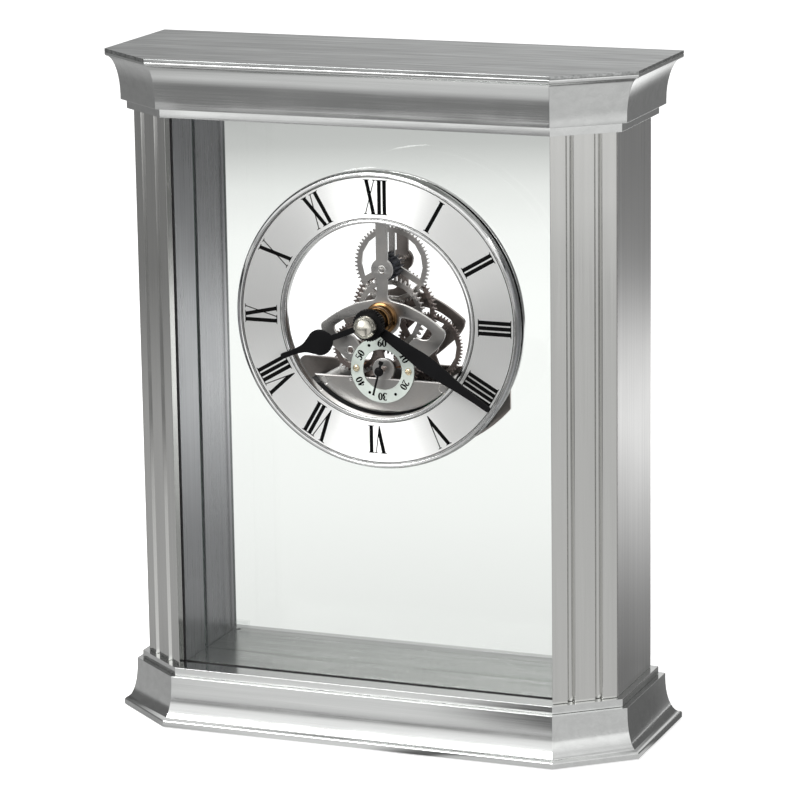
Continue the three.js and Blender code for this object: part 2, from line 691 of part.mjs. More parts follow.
const moduleRotor = pitchModule(ROTOR_ARBOR, LEFT_ARBOR, T.rotor, T.intermediate);
const moduleSeconds = pitchModule(LEFT_ARBOR, SECONDS_ARBOR, T.intermediatePinion, T.seconds);
const moduleThird = pitchModule(SECONDS_ARBOR, RIGHT_ARBOR, T.secondsPinion, T.third);
const moduleCentre = pitchModule(RIGHT_ARBOR, CENTRE, T.thirdPinion, T.centre);
const moduleMinute = pitchModule(CENTRE, TOP_ARBOR, T.cannon, T.minute);
const moduleHour = pitchModule(TOP_ARBOR, CENTRE, T.minutePinion, T.hour);

const angleSeconds = 0.02;
const angleIntermediatePinion = meshAngle(
  SECONDS_ARBOR, angleSeconds, T.seconds, LEFT_ARBOR, T.intermediatePinion);
const angleIntermediate = 0.3;
const angleRotor = meshAngle(LEFT_ARBOR, angleIntermediate, T.intermediate, ROTOR_ARBOR, T.rotor);
const angleSecondsPinion = 0.1;
const angleThird = meshAngle(SECONDS_ARBOR, angleSecondsPinion, T.secondsPinion, RIGHT_ARBOR, T.third);
const angleThirdPinion = 0.2;
const angleCentre = meshAngle(RIGHT_ARBOR, angleThirdPinion, T.thirdPinion, CENTRE, T.centre);
const angleCannon = 0.15;
const angleMinute = meshAngle(CENTRE, angleCannon, T.cannon, TOP_ARBOR, T.minute);
const angleMinutePinion = 0.05;
const angleHour = meshAngle(TOP_ARBOR, angleMinutePinion, T.minutePinion, CENTRE, T.hour);

const place = ([x, z]) => [x, 0, DIAL_Z + z];
const pinion = (teeth, module, angle, layer) => slab(toothed(teeth, module, angle, PINION_TOOTH), layer);
const wheel = ({ teeth, module, angle, layer }, crossing) =>
  slab(crossed(toothed(teeth, module, angle, WHEEL_TOOTH), crossing), layer);
const ROTOR_BRIDGE = [10.2, 11.0];
const PIVOT = [plateFront - 0.25, BACK_PLATE[1] + 0.25]; // ends of the arbors, just past the plates

// seconds wheel, with its pinion and the pipe that carries the seconds hand
const SECONDS_TIP = -6.2;
const secondsArbor = arbor([
  [0.6, SECONDS_TIP],
  [0.6, plateFront - 0.4],
  [PIVOT_R, -0.6],
  [1.4, 2.0],
  [0.9, 12.6],
  [PIVOT_R, PIVOT[1]],
]);
const secondsWheel = wheel(
  { teeth: T.seconds, module: moduleSeconds, angle: angleSeconds, layer: SECONDS_LAYER },
  { rim: 8.9, hub: 3.1, spokes: 4, width: 1.7, angle: 0.4 },
)
  .add(pinion(T.secondsPinion, moduleThird, angleSecondsPinion, grown(THIRD_LAYER, 0.4)))
  .add(secondsArbor);
add('seconds_wheel', secondsWheel, wheelMetal, place(SECONDS_ARBOR));

const intermediateWheel = wheel(
  { teeth: T.intermediate, module: moduleRotor, angle: angleIntermediate, layer: INTERMEDIATE_LAYER },
  { rim: 6.2, hub: 2.6, spokes: 3, width: 1.5, angle: 0.3 },
)
  .add(pinion(T.intermediatePinion, moduleSeconds, angleIntermediatePinion, [0.0, 2.5]))
  .add(arbor([[PIVOT_R, PIVOT[0]], [PIVOT_R, -0.4], [1.0, 5.2], [PIVOT_R, PIVOT[1]]]));
add('intermediate_wheel', intermediateWheel, wheelMetal, place(LEFT_ARBOR));

const rotorArbor = arbor([
  [ROTOR_PIVOT_R, PIVOT[0]],
  [ROTOR_PIVOT_R, 1.6],
  [0.8, 5.2],
  [2.0, 8.4],
  [0.7, 9.2],
  [ROTOR_PIVOT_R, ROTOR_BRIDGE[1]],
]);
const rotor = pinion(T.rotor, moduleRotor, angleRotor, grown(INTERMEDIATE_LAYER, 0.3)).add(rotorArbor);
add('rotor', rotor, steel, place(ROTOR_ARBOR));

const thirdPinionLayer = [CENTRE_LAYER[0] - 0.4, THIRD_LAYER[0] + 0.1];
const thirdWheel = wheel(
  { teeth: T.third, module: moduleThird, angle: angleThird, layer: THIRD_LAYER },
  { rim: 9.3, hub: 3.0, spokes: 3, width: 1.7, angle: 0.9 },
)
  .add(pinion(T.thirdPinion, moduleCentre, angleThirdPinion, thirdPinionLayer))
  .add(arbor([[PIVOT_R, PIVOT[0]], [PIVOT_R, 7.4], [1.0, 12.8], [PIVOT_R, PIVOT[1]]]));
add('third_wheel', thirdWheel, wheelMetal, place(RIGHT_ARBOR));

// The centre wheel rides on the centre arbor, and drives it through a friction washer.
const centreWheel = wheel(
  { teeth: T.centre, module: moduleCentre, angle: angleCentre, layer: CENTRE_LAYER },
  { rim: 12.3, hub: 3.6, spokes: 4, width: 1.9, angle: 0.5 },
)
  .add(disc(2.9, [CENTRE_LAYER[0] - 0.3, CENTRE_LAYER[1] + 1.4], 24))
  .subtract(disc(CENTRE_ARBOR_R + RUNNING_GAP, [0, 20], 16));
add('centre_wheel', centreWheel, brass, dialCentre);

// Hands stand in front of the plate, the hour hand behind the minute hand.
const HOUR_HAND = [-11.0, -10.3];
const MINUTE_HAND = [-12.6, -11.9];
const COLLAR = [MINUTE_HAND[0] - 2.65, MINUTE_HAND[0] - 0.05];
const CANNON_R = 1.6;
const cannon = pinion(T.cannon, moduleMinute, angleCannon, grown(MINUTE_LAYER, 0.5)).add(
  arbor(
    [
      [CENTRE_ARBOR_R, COLLAR[0]],
      [CENTRE_ARBOR_R, MINUTE_HAND[1] + 0.05],
      [CANNON_R, MINUTE_LAYER[1] + 0.5],
      [CENTRE_ARBOR_R, BACK_PLATE[1] + 0.9],
    ],
    20,
  ),
);
add('cannon_pinion', cannon, brass, dialCentre);

const minuteWheel = wheel(
  { teeth: T.minute, module: moduleMinute, angle: angleMinute, layer: MINUTE_LAYER },
  { rim: 10.6, hub: 2.9, spokes: 3, width: 2.0, angle: Math.PI / 2 },
)
  .add(arbor([[PIVOT_R, PIVOT[0]], [PIVOT_R, 0.6], [0.95, 6.95], [2.6, 8.3], [PIVOT_R, PIVOT[1]]]));
add('minute_wheel', minuteWheel, wheelMetal, place(TOP_ARBOR));
const PINION_BORE = 1.0;
const minutePinion = pinion(T.minutePinion, moduleHour, angleMinutePinion, [1.0, 6.8])
  .subtract(disc(PINION_BORE, [0, 9], 16));
add('minute_pinion', minutePinion, darkPlastic, place(TOP_ARBOR));

const hourWheel = wheel(
  { teeth: T.hour, module: moduleHour, angle: angleHour, layer: HOUR_LAYER },
  { rim: 9.7, hub: 4.2, spokes: 3, width: 2.0, angle: 0.2 },
)
  .add(disc(PIPE_R, [HOUR_HAND[0], HOUR_LAYER[1]], 24))
  .subtract(disc(CANNON_R + 0.1, [HOUR_HAND[0] - 1, HOUR_LAYER[1] + 1], 24));
add('hour_wheel', hourWheel, brass, dialCentre);

// ---------------------------------------------------------------- hands
const clockwise = (body, degrees) => body.rotate([0, degrees, 0]);
const spadeHalf = [
  [0.95, 3.0],
  [0.95, 15.2],
  [2.1, 15.9],
  [3.5, 17.4],
  [4.2, 19.4],
  [4.0, 21.2],
  [2.8, 23.2],
  [1.5, 25.6],
  [1.0, 28.2],
  [0.95, 33.6],
  [0.6, 34.4],
];
const spearHalf = [
  [1.35, 3.0],
  [1.75, 8.0],
  [2.05, 13.0],
  [2.4, 18.0],
  [2.7, 22.5],
  [2.45, 26.5],
  [2.0, 31.0],
  [1.5, 36.0],
  [1.15, 41.0],
  [0.95, 46.6],
  [0.6, 47.5],
];
const handShape = (half, eyeR) => {
  const blade = outline([...half, ...half.map(([x, z]) => [-x, z]).reverse()]);
  return (faces) => slab(blade, faces).add(slab(circle(CENTRE, eyeR), faces));
};
const hourHand = handShape(spadeHalf, 4.2)(HOUR_HAND).subtract(
  disc(PIPE_R + 0.05, grown(HOUR_HAND, 1), 24),
);
add('hour_hand', clockwise(hourHand, HOUR_ANGLE), handBlack, dialCentre);
const minuteHand = handShape(spearHalf, 4.2)(MINUTE_HAND).subtract(
  disc(CENTRE_ARBOR_R + 0.05, grown(MINUTE_HAND, 1), 16),
);
add('minute_hand', clockwise(minuteHand, MINUTE_ANGLE), handBlack, dialCentre);

const SECONDS_HAND = [-6.1, -5.6];
const secondsHalf = [
  [0.32, 0.5],
  [0.3, 7.8],
  [0.45, 8.1],
];
const counterHalf = [
  [0.35, -0.5],
  [0.35, -2.2],
  [0.75, -2.6],
  [0.75, -3.6],
];
const secondsHand = slab(outline(mirrored(secondsHalf)), SECONDS_HAND)
  .add(slab(outline(mirrored(counterHalf)), SECONDS_HAND))
  .add(slab(circle(CENTRE, 1.5), SECONDS_HAND))
  .subtract(disc(0.65, grown(SECONDS_HAND, 1), 16));
add('seconds_hand', clockwise(secondsHand, SECOND_ANGLE), handBlack, place(SECONDS_ARBOR));

// Knurled collar behind the minute hand, and the ball nut that holds the hands.
const COLLAR_R = 5.2;
const RIDGES = 36;
const knurled = (radius, faces) => {
  const points = [];
  for (let i = 0; i < 2 * RIDGES; i += 1) {
    const turn = (Math.PI * i) / RIDGES;
    const reach = i % 2 === 0 ? radius : radius - 0.45;
    points.push([reach * Math.cos(turn), reach * Math.sin(turn)]);
  }
  return slab(outline(points), faces);
};
const collar = knurled(COLLAR_R, COLLAR).subtract(disc(CENTRE_ARBOR_R + 0.1, grown(COLLAR, 1), 16));
add('hand_collar', collar, handBlack, dialCentre);

const BALL_R = 3.7;
const BALL_CENTRE = COLLAR[0] - 1.9;
const ballProfile = () => {
  const steps = 9;
  const flat = Math.asin((COLLAR[0] - 0.05 - BALL_CENTRE) / BALL_R);
  return Array.from({ length: steps + 1 }, (_, i) => {
    const turn = -Math.PI / 2 + ((flat + Math.PI / 2) * i) / steps;
    return [i === 0 ? 0 : BALL_R * Math.cos(turn), BALL_CENTRE + BALL_R * Math.sin(turn)];
  });
};
const ball = turned([...ballProfile(), [0, COLLAR[0] - 0.05]], 24);
add('ball_nut', ball, chrome, dialCentre);

const KNOB = [BACK_PLATE[1] + 0.2, BACK_PLATE[1] + 1.3];
const settingKnob = knurled(6.2, KNOB).subtract(disc(CENTRE_ARBOR_R + 0.05, grown(KNOB, 1), 16));
add('setting_knob', settingKnob, darkPlastic, dialCentre);

// ---------------------------------------------------------------- motor
const STATOR = [6.3, 7.2];
const STATOR_X = [-18.4, 5.4];
const STATOR_Z = [-23.5, -18.3];
const rotorBore = at(ROTOR_ARBOR, disc(2.3, grown(STATOR, 1), 24));
add('stator', box(STATOR_X, STATOR, STATOR_Z).subtract(rotorBore), steel, dialCentre);
const CORE = [13.4, 14.2];
const COIL_X = [-14.6, 1.6];
const coreZ = [-22.2, -19.8];
const coreStrip = box(STATOR_X, CORE, coreZ)
  .add(box([STATOR_X[0], STATOR_X[0] + 2.2], [STATOR[1] + 0.05, CORE[1]], coreZ))
  .add(box([STATOR_X[1] - 2.2, STATOR_X[1] - 0.8], [STATOR[1] + 0.05, CORE[1]], [-23.3, -21.3]));
add('coil_core', coreStrip, steel, dialCentre);
const bridge = box([STATOR_X[0] + 2.25, ROTOR_ARBOR[0] + 2.4], ROTOR_BRIDGE, coreZ);
const bridgeHole = pivotHole(ROTOR_ARBOR, ROTOR_PIVOT_R, grown(ROTOR_BRIDGE, 1));
add('rotor_bridge', bridge.subtract(bridgeHole), brass, dialCentre);
const coilCentre = [(CORE[0] + CORE[1]) / 2, (coreZ[0] + coreZ[1]) / 2];
const COIL_R = 1.95;
const coilProfile = [
  [0, COIL_X[0]],
  [COIL_R, COIL_X[0]],
  [COIL_R, COIL_X[0] + 0.6],
  [COIL_R - 0.2, COIL_X[0] + 0.6],
  [COIL_R - 0.2, COIL_X[1] - 0.6],
  [COIL_R, COIL_X[1] - 0.6],
  [COIL_R, COIL_X[1]],
  [0, COIL_X[1]],
];
const coilBody = turned(coilProfile, 20)
  .rotate([0, 0, -90])
  .translate([0, coilCentre[0], coilCentre[1]])
  .subtract(box([COIL_X[0] - 1, COIL_X[1] + 1], grown(CORE, 0.05), [coreZ[0] - 0.05, coreZ[1] + 0.05]));
add('coil', coilBody, copper, dialCentre);

const BOARD_X = [12.5, 26.5];
const BOARD_Z = [-35.0, -24.4];
const BOARD_Y = [0.9, 1.7];
add('circuit_board', box(BOARD_X, BOARD_Y, BOARD_Z), board, dialCentre);

// ---------------------------------------------------------------- battery
const CASE_Y = [2.0, BACK_PLATE[0] - 0.1];
const CASE_WALL = 0.9;
const CASE_X = 29.2;
const CASE_Z = [CELL_Z - CELL_R - 1.1, CELL_Z + CELL_R + 1.0];
const caseOuter = outline([
  [-CASE_X, CASE_Z[1]],
  [-CASE_X, CASE_Z[0] + 2.4],
  [-CASE_X + 3.4, CASE_Z[0]],
  [CASE_X - 3.4, CASE_Z[0]],
  [CASE_X, CASE_Z[0] + 2.4],
  [CASE_X, CASE_Z[1]],
]);
const roomX = CASE_X - CASE_WALL;
const roomZ = [CASE_Z[0] + CASE_WALL, CASE_Z[1] - CASE_WALL];
const caseRoom = outline([
  [-roomX, roomZ[1]],
  [-roomX, roomZ[0] + 2.1],
  [-roomX + 3, roomZ[0]],
  [roomX - 3, roomZ[0]],
  [roomX, roomZ[0] + 2.1],
  [roomX, roomZ[1]],
]);
const battery = slab(caseOuter, CASE_Y).subtract(slab(caseRoom, [CASE_Y[0] + CASE_WALL, CASE_Y[1] + 1]));
add('battery_case', battery, darkPlastic, dialCentre);

const CELL_X = [-24.8, 24.4];
const CELL_Y = CASE_Y[0] + CASE_WALL + CELL_R + 0.15;
const cellProfile = [
  [0, CELL_X[0]],
  [CELL_R - 0.5, CELL_X[0]],
  [CELL_R, CELL_X[0] + 0.5],
  [CELL_R, CELL_X[1] - 0.5],
  [CELL_R - 0.5, CELL_X[1]],
  [2.7, CELL_X[1]],
  [2.7, CELL_X[1] + 1.2],
  [0, CELL_X[1] + 1.2],
];
const cell = turned(cellProfile, 28).rotate([0, 0, -90]).translate([0, CELL_Y, CELL_Z]);
add('battery_cell', cell, cellWrap, dialCentre);

// A flat contact at the cell's positive end, and a sprung leaf bent out of a strip at the other.
const contactY = [CELL_Y - 4, CELL_Y + 4];
const contactZ = [CELL_Z - 4, CELL_Z + 4];
add('battery_contact_positive', box([roomX - 1.2, roomX - 0.6], contactY, contactZ), steel, dialCentre);
const leaf = [
  [-roomX + 0.2, contactZ[0]],
  [-roomX + 0.7, contactZ[0]],
  [-roomX + 0.7, contactZ[0] + 2.2],
  [CELL_X[0] - 0.25, CELL_Z],
  [-roomX + 1.7, contactZ[1] - 1.2],
  [-roomX + 1.2, contactZ[1] - 1.4],
  [CELL_X[0] - 0.95, CELL_Z],
  [-roomX + 0.2, contactZ[0] + 2.8],
];
add('battery_contact_negative', slab(outline(leaf), contactY), steel, dialCentre);

export default clock;
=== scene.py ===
import json
import math

import bmesh
import bpy
from mathutils import Matrix, Quaternion, Vector


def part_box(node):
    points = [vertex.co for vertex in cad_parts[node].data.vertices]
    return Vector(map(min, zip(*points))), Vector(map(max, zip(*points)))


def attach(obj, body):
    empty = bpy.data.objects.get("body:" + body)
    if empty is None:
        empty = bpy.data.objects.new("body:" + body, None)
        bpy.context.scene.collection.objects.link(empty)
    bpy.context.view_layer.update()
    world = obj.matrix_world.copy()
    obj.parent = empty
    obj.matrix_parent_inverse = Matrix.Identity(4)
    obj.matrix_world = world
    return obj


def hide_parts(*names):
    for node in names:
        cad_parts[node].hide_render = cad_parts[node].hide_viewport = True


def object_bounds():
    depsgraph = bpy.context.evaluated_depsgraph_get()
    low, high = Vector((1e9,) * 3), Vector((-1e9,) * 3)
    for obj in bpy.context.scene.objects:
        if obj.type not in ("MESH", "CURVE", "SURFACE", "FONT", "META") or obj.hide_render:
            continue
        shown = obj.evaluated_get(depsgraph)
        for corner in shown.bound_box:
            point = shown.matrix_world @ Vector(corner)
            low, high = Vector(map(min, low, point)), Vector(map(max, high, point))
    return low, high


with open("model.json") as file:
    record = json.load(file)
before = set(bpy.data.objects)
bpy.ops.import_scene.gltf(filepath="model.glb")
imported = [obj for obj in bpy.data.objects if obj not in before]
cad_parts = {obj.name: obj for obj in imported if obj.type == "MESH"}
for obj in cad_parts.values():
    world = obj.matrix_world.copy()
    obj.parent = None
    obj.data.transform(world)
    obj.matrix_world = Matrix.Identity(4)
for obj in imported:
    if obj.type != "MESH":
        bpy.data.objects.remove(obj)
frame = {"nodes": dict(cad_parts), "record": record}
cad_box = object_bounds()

# ---- frame facts
MM = 0.001
NODES = frame["nodes"]
GROUPS = frame["record"]["behaviour"]["bodies"]
BODY_OF = {node: body for body, members in GROUPS.items() for node in members}
SCENE = bpy.context.scene


def middle(node):
    low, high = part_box(node)
    return (low + high) / 2


def box_mm(node):
    low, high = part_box(node)
    return low / MM, high / MM


def y_span(node):
    """The front and the back of a node, in millimetres."""
    low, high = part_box(node)
    return low.y / MM, high.y / MM


def reach(node, axis):
    """Least and greatest distance of a node's points from a line along Y, in millimetres."""
    spans = [math.hypot(v.co.x - axis.x, v.co.z - axis.z) / MM for v in NODES[node].data.vertices]
    return min(spans), max(spans)


DIAL = middle("dial_ring")
SECONDS = middle("seconds_dial")
WHITE = (1.0, 1.0, 1.0, 1.0)


# ---- node helpers
def add_node(tree, kind, inputs=None, **settings):
    made = tree.nodes.new("ShaderNode" + kind)
    for key, value in settings.items():
        setattr(made, key, value)
    for key, value in (inputs or {}).items():
        if isinstance(value, bpy.types.NodeSocket):
            tree.links.new(value, made.inputs[key])
        else:
            made.inputs[key].default_value = value
    return made


def math_of(tree, operation, *values):
    return add_node(tree, "Math", dict(enumerate(values)), operation=operation).outputs[0]


def vector_of(tree, operation, *values, output=0):
    return add_node(tree, "VectorMath", dict(enumerate(values)), operation=operation).outputs[output]


def part_of(tree, vector, axis):
    """One coordinate of a vector: X, Y or Z."""
    return add_node(tree, "SeparateXYZ", {0: vector}).outputs[axis]


def object_point(tree):
    return add_node(tree, "TexCoord").outputs["Object"]


def grain(tree, scale, detail=2.0, shift=0.0):
    """Noise whose scale is features per metre: one number, or one for each axis."""
    scale = (scale,) * 3 if isinstance(scale, float) else scale
    moved = vector_of(tree, "ADD", object_point(tree), (shift,) * 3)
    sized = vector_of(tree, "MULTIPLY", moved, scale)
    return add_node(tree, "TexNoise", {"Vector": sized, "Scale": 1.0, "Detail": detail}).outputs["Fac"]


def spread(tree, value, low=0.0, high=1.0, source=(0.3, 0.7), **settings):
    """Value carried from a source range to the range from low to high."""
    inputs = {0: value, 1: source[0], 2: source[1], 3: low, 4: high}
    return add_node(tree, "MapRange", inputs, **settings).outputs[0]


def between(tree, factor, first, second):
    """A colour between two colours."""
    inputs = {0: factor, 6: first, 7: second}
    return add_node(tree, "Mix", inputs, data_type="RGBA").outputs[2]


def shaded(colour, share):
    return (*(c * share for c in colour[:3]), 1.0)


def tinted(tree, value, colour, low, high):
    """A colour that goes from a low to a high share of itself as value goes from 0 to 1."""
    return between(tree, value, shaded(colour, low), shaded(colour, high))


def average(tree, first, second):
    return math_of(tree, "MULTIPLY_ADD", first, 0.5, math_of(tree, "MULTIPLY", second, 0.5))


def mix_shader(tree, share, first, second):
    return add_node(tree, "MixShader", {0: share, 1: first, 2: second}).outputs[0]


def show(tree, shader):
    """Makes a shader the surface of its material."""
    tree.links.new(shader, tree.nodes["Material Output"].inputs["Surface"])


def new_material(name, **sockets):
    made = bpy.data.materials.new(name)
    made.use_nodes = True
    tree = made.node_tree
    bsdf = tree.nodes["Principled BSDF"]
    for key, value in sockets.items():
        bsdf.inputs[key.replace("_", " ").title().replace("Ior", "IOR")].default_value = value
    return made, tree, bsdf


def drive(shader, socket, value):
    shader.id_data.links.new(value, shader.inputs[socket])


def bump(shader, height, distance, strength):
    inputs = {"Height": height, "Distance": distance, "Strength": strength}
    drive(shader, "Normal", add_node(shader.id_data, "Bump", inputs).outputs[0])


# ---- metals
AXES = {"x": (1.0, 0.0, 0.0), "z": (0.0, 0.0, 1.0)}


def streaks(tree, along, across_per_m, along_per_m, shift=0.0, detail=2.0):
    scale = [across_per_m] * 3
    scale["xyz".index(along)] = along_per_m
    return grain(tree, scale, detail, shift)


def brushed_metal(name, colour, along, roughness=0.3, contrast=0.1, relief=1.0, coarse=1.0):
    """Metal brushed along one axis: fine and broad streaks in colour, roughness and relief."""
    made, tree, bsdf = new_material(name, metallic=1.0, anisotropic=0.55)
    fine = streaks(tree, along, 5200.0 / coarse, 9.0, detail=3.0)
    medium = streaks(tree, along, 1900.0 / coarse, 14.0 * coarse, 0.37, 3.0)
    broad = streaks(tree, along, 170.0, 2.5, 0.71, 1.0)
    mixed = average(tree, medium, fine)
    tone = spread(tree, mixed, 0.0, 1.0, (0.33, 0.67))
    wide = spread(tree, broad, 0.0, 1.0, (0.2, 0.8))
    body = tinted(tree, tone, colour, 1 - contrast, 1 + contrast)
    band = tinted(tree, wide, colour, 1 - contrast * 0.5, 1 + contrast * 0.5)
    drive(bsdf, "Base Color", between(tree, 0.3, body, band))
    worn = spread(tree, grain(tree, 30.0), -0.015, 0.02)
    lined = spread(tree, mixed, roughness - 0.025, roughness + 0.03)
    drive(bsdf, "Roughness", math_of(tree, "ADD", lined, worn))
    bump(bsdf, mixed, 0.000007 * relief, 0.5)
    normal = add_node(tree, "NewGeometry").outputs["Normal"]
    drive(bsdf, "Tangent", vector_of(tree, "CROSS_PRODUCT", normal, AXES[along]))
    return made


def polished_metal(name, colour, along, roughness, contrast):
    """Polished metal under clear lacquer, with faint polishing lines and hazy patches."""
    made, tree, bsdf = new_material(name, metallic=1.0, coat_weight=0.25, coat_roughness=0.12)
    fine = streaks(tree, along, 3000.0, 30.0)
    broad = streaks(tree, along, 420.0, 9.0, 0.53, 1.0)
    tone = spread(tree, average(tree, fine, broad), 0.0, 1.0, (0.36, 0.64))
    drive(bsdf, "Base Color", tinted(tree, tone, colour, 1 - contrast, 1 + contrast))
    lined = spread(tree, fine, roughness - 0.04, roughness + 0.05)
    clouded = spread(tree, grain(tree, 55.0, 3.0), -0.03, 0.05)
    drive(bsdf, "Roughness", math_of(tree, "ADD", lined, clouded))
    bump(bsdf, fine, 0.000005, 0.5)
    return made


def turned_metal(name, colour, roughness, axis, contrast=0.05, spin=0.5, relief=1.0, metallic=1.0):
    """Metal turned in a lathe: rings about an axis along Y through a point."""
    made, tree, bsdf = new_material(name, metallic=metallic, anisotropic=spin)
    centred = vector_of(tree, "SUBTRACT", object_point(tree), axis)
    flat = vector_of(tree, "MULTIPLY", centred, (1.0, 0.0, 1.0))
    rings = math_of(tree, "MULTIPLY", vector_of(tree, "LENGTH", flat, output="Value"), 5200.0)
    lines = add_node(tree, "TexNoise", {"W": rings, "Scale": 1.0}, noise_dimensions="1D").outputs["Fac"]
    tone = spread(tree, lines)
    drive(bsdf, "Base Color", tinted(tree, tone, colour, 1 - contrast, 1 + contrast))
    lined = spread(tree, lines, roughness - 0.04, roughness + 0.05)
    patched = spread(tree, grain(tree, 240.0, 3.0), -0.02, 0.03)
    drive(bsdf, "Roughness", math_of(tree, "ADD", lined, patched))
    bump(bsdf, lines, 0.000006 * relief, 0.4)
    drive(bsdf, "Tangent", vector_of(tree, "NORMALIZE", flat))
    return made


def stamped_metal(name, colour, roughness=0.32, contrast=0.07, highlight_rim_metal=1.0):
    """Stamped sheet: fine straight grain, soft stains, and a painted highlight: paler colour on the edges,
    where the face turns away from Y.
    """
    made, tree, bsdf = new_material(name, metallic=1.0, anisotropic=0.3)
    fine = grain(tree, (900.0, 900.0, 7000.0))
    stain = grain(tree, 170.0, 4.0)
    body = tinted(tree, spread(tree, fine), colour, 1 - contrast, 1 + contrast)
    warm = (colour[0] * 0.9, colour[1] * 0.85, colour[2] * 0.79, 1.0)
    mottled = between(tree, spread(tree, stain, 0.0, 0.4, (0.45, 0.75)), body, warm)
    facing = part_of(tree, add_node(tree, "NewGeometry").outputs["Normal"], "Y")
    # painted highlight: the base colour turns paler on faces that turn away from Y, which are the bevelled
    # edges
    rim = spread(tree, math_of(tree, "ABSOLUTE", facing), 1.0, 0.0, (0.35, 0.93))
    bright = (*(min(0.92, c * 1.7 + 0.08) for c in colour), 1.0)
    drive(bsdf, "Base Color", between(tree, rim, mottled, bright))
    # the painted highlight can be made less metallic, so that its pale colour shows
    if highlight_rim_metal < 1.0:
        drive(bsdf, "Metallic", spread(tree, rim, 1.0, highlight_rim_metal, (0.0, 1.0)))
    drive(bsdf, "Roughness", spread(tree, stain, roughness - 0.06, roughness + 0.1))
    bump(bsdf, fine, 0.000006, 0.4)
    return made


def chrome_metal(name, colour, roughness):
    made, tree, bsdf = new_material(name, metallic=1.0)
    haze = grain(tree, 420.0, 3.0)
    drive(bsdf, "Base Color", tinted(tree, spread(tree, haze), colour, 0.97, 1.03))
    drive(bsdf, "Roughness", spread(tree, haze, roughness * 0.6, roughness * 1.7))
    bump(bsdf, haze, 0.000003, 0.2)
    return made


# ---- other finishes
def moulded(name, colour, roughness=0.42, texture=2600.0, depth=0.00001, specular=0.5):
    """Moulded plastic or paint: fine pebble, slight sheen change, dust-pale high spots."""
    made, tree, bsdf = new_material(name, specular_ior_level=specular)
    patch = grain(tree, 120.0, 3.0)
    drive(bsdf, "Base Color", tinted(tree, spread(tree, patch), colour, 0.85, 1.2))
    drive(bsdf, "Roughness", spread(tree, patch, roughness - 0.06, roughness + 0.1))
    bump(bsdf, grain(tree, texture), depth, 0.5)
    return made


def felt_cloth(name, colour):
    made, tree, bsdf = new_material(name, roughness=1.0, sheen_weight=0.5, sheen_roughness=0.5)
    fibres = grain(tree, 2600.0, 5.0)
    tufts = grain(tree, 420.0, 3.0)
    drive(bsdf, "Base Color", tinted(tree, spread(tree, fibres), colour, 0.6, 1.6))
    bump(bsdf, math_of(tree, "MULTIPLY_ADD", tufts, 0.5, fibres), 0.00012, 0.8)
    return made


def clear_glass(name, tint, edge_tint, edge_share):
    """Thin clear sheet: see-through faces that mirror at a slant, and darker upright edges."""
    made, tree, bsdf = new_material(name, roughness=0.02, base_color=(*edge_tint, 1.0))
    sideways = part_of(tree, add_node(tree, "TexCoord").outputs["Normal"], "X")
    edge = spread(tree, math_of(tree, "ABSOLUTE", sideways), 0.0, 1.0, (0.6, 0.9))
    smear = spread(tree, grain(tree, (26.0, 26.0, 14.0), 3.0), 0.0, 0.05, (0.45, 0.75))
    through = add_node(tree, "BsdfTransparent", {"Color": (*tint, 1.0)}).outputs[0]
    gloss = add_node(tree, "BsdfGlossy", {"Color": WHITE, "Roughness": smear}).outputs[0]
    outside = math_of(tree, "SUBTRACT", 1.0, add_node(tree, "NewGeometry").outputs["Backfacing"])
    mirror = math_of(tree, "MULTIPLY", add_node(tree, "Fresnel", {"IOR": 1.5}).outputs[0], outside)
    face = mix_shader(tree, mirror, through, gloss)
    solid_edge = mix_shader(tree, edge_share, through, bsdf.outputs[0])
    show(tree, mix_shader(tree, edge, face, solid_edge))
    return made


def wound_wire(name, colour, pitch):
    """Enamelled copper: a painted highlight along every turn, and painted shade in the gaps between the
    turns.
    """
    made, tree, bsdf = new_material(name, metallic=1.0, coat_weight=0.6, coat_roughness=0.1)
    turns = math_of(tree, "DIVIDE", part_of(tree, object_point(tree), "X"), pitch)
    ridge = math_of(tree, "SINE", math_of(tree, "MULTIPLY", math_of(tree, "FRACT", turns), math.pi))
    # painted highlight on each turn's crest and painted shade in the gaps, both in the base colour
    shine = spread(tree, ridge, 0.0, 1.0, (0.1, 0.7))
    drive(bsdf, "Base Color", tinted(tree, shine, colour, 0.35, 1.15))
    drive(bsdf, "Roughness", spread(tree, ridge, 0.5, 0.25, (0.0, 1.0)))
    bump(bsdf, ridge, 0.00006, 0.8)
    return made


def circuit_mask(name, colour):
    """Solder mask over copper tracks, with tinned pads."""
    made, tree, bsdf = new_material(name, roughness=0.3, coat_weight=0.5, coat_roughness=0.15)
    steps = vector_of(tree, "MULTIPLY", object_point(tree), (1400.0, 1.0, 1400.0))
    cell = add_node(tree, "TexVoronoi", {"Vector": steps, "Scale": 0.55}, distance="CHEBYCHEV")
    track = spread(tree, cell.outputs["Distance"], 0.0, 1.0, (0.36, 0.4))
    pad = spread(tree, cell.outputs["Distance"], 1.0, 0.0, (0.12, 0.15))
    mask = tinted(tree, track, colour, 0.8, 1.5)
    drive(bsdf, "Base Color", between(tree, pad, mask, (0.75, 0.74, 0.7, 1.0)))
    drive(bsdf, "Metallic", math_of(tree, "MULTIPLY", pad, 0.9))
    bump(bsdf, track, 0.00003, 0.6)
    return made


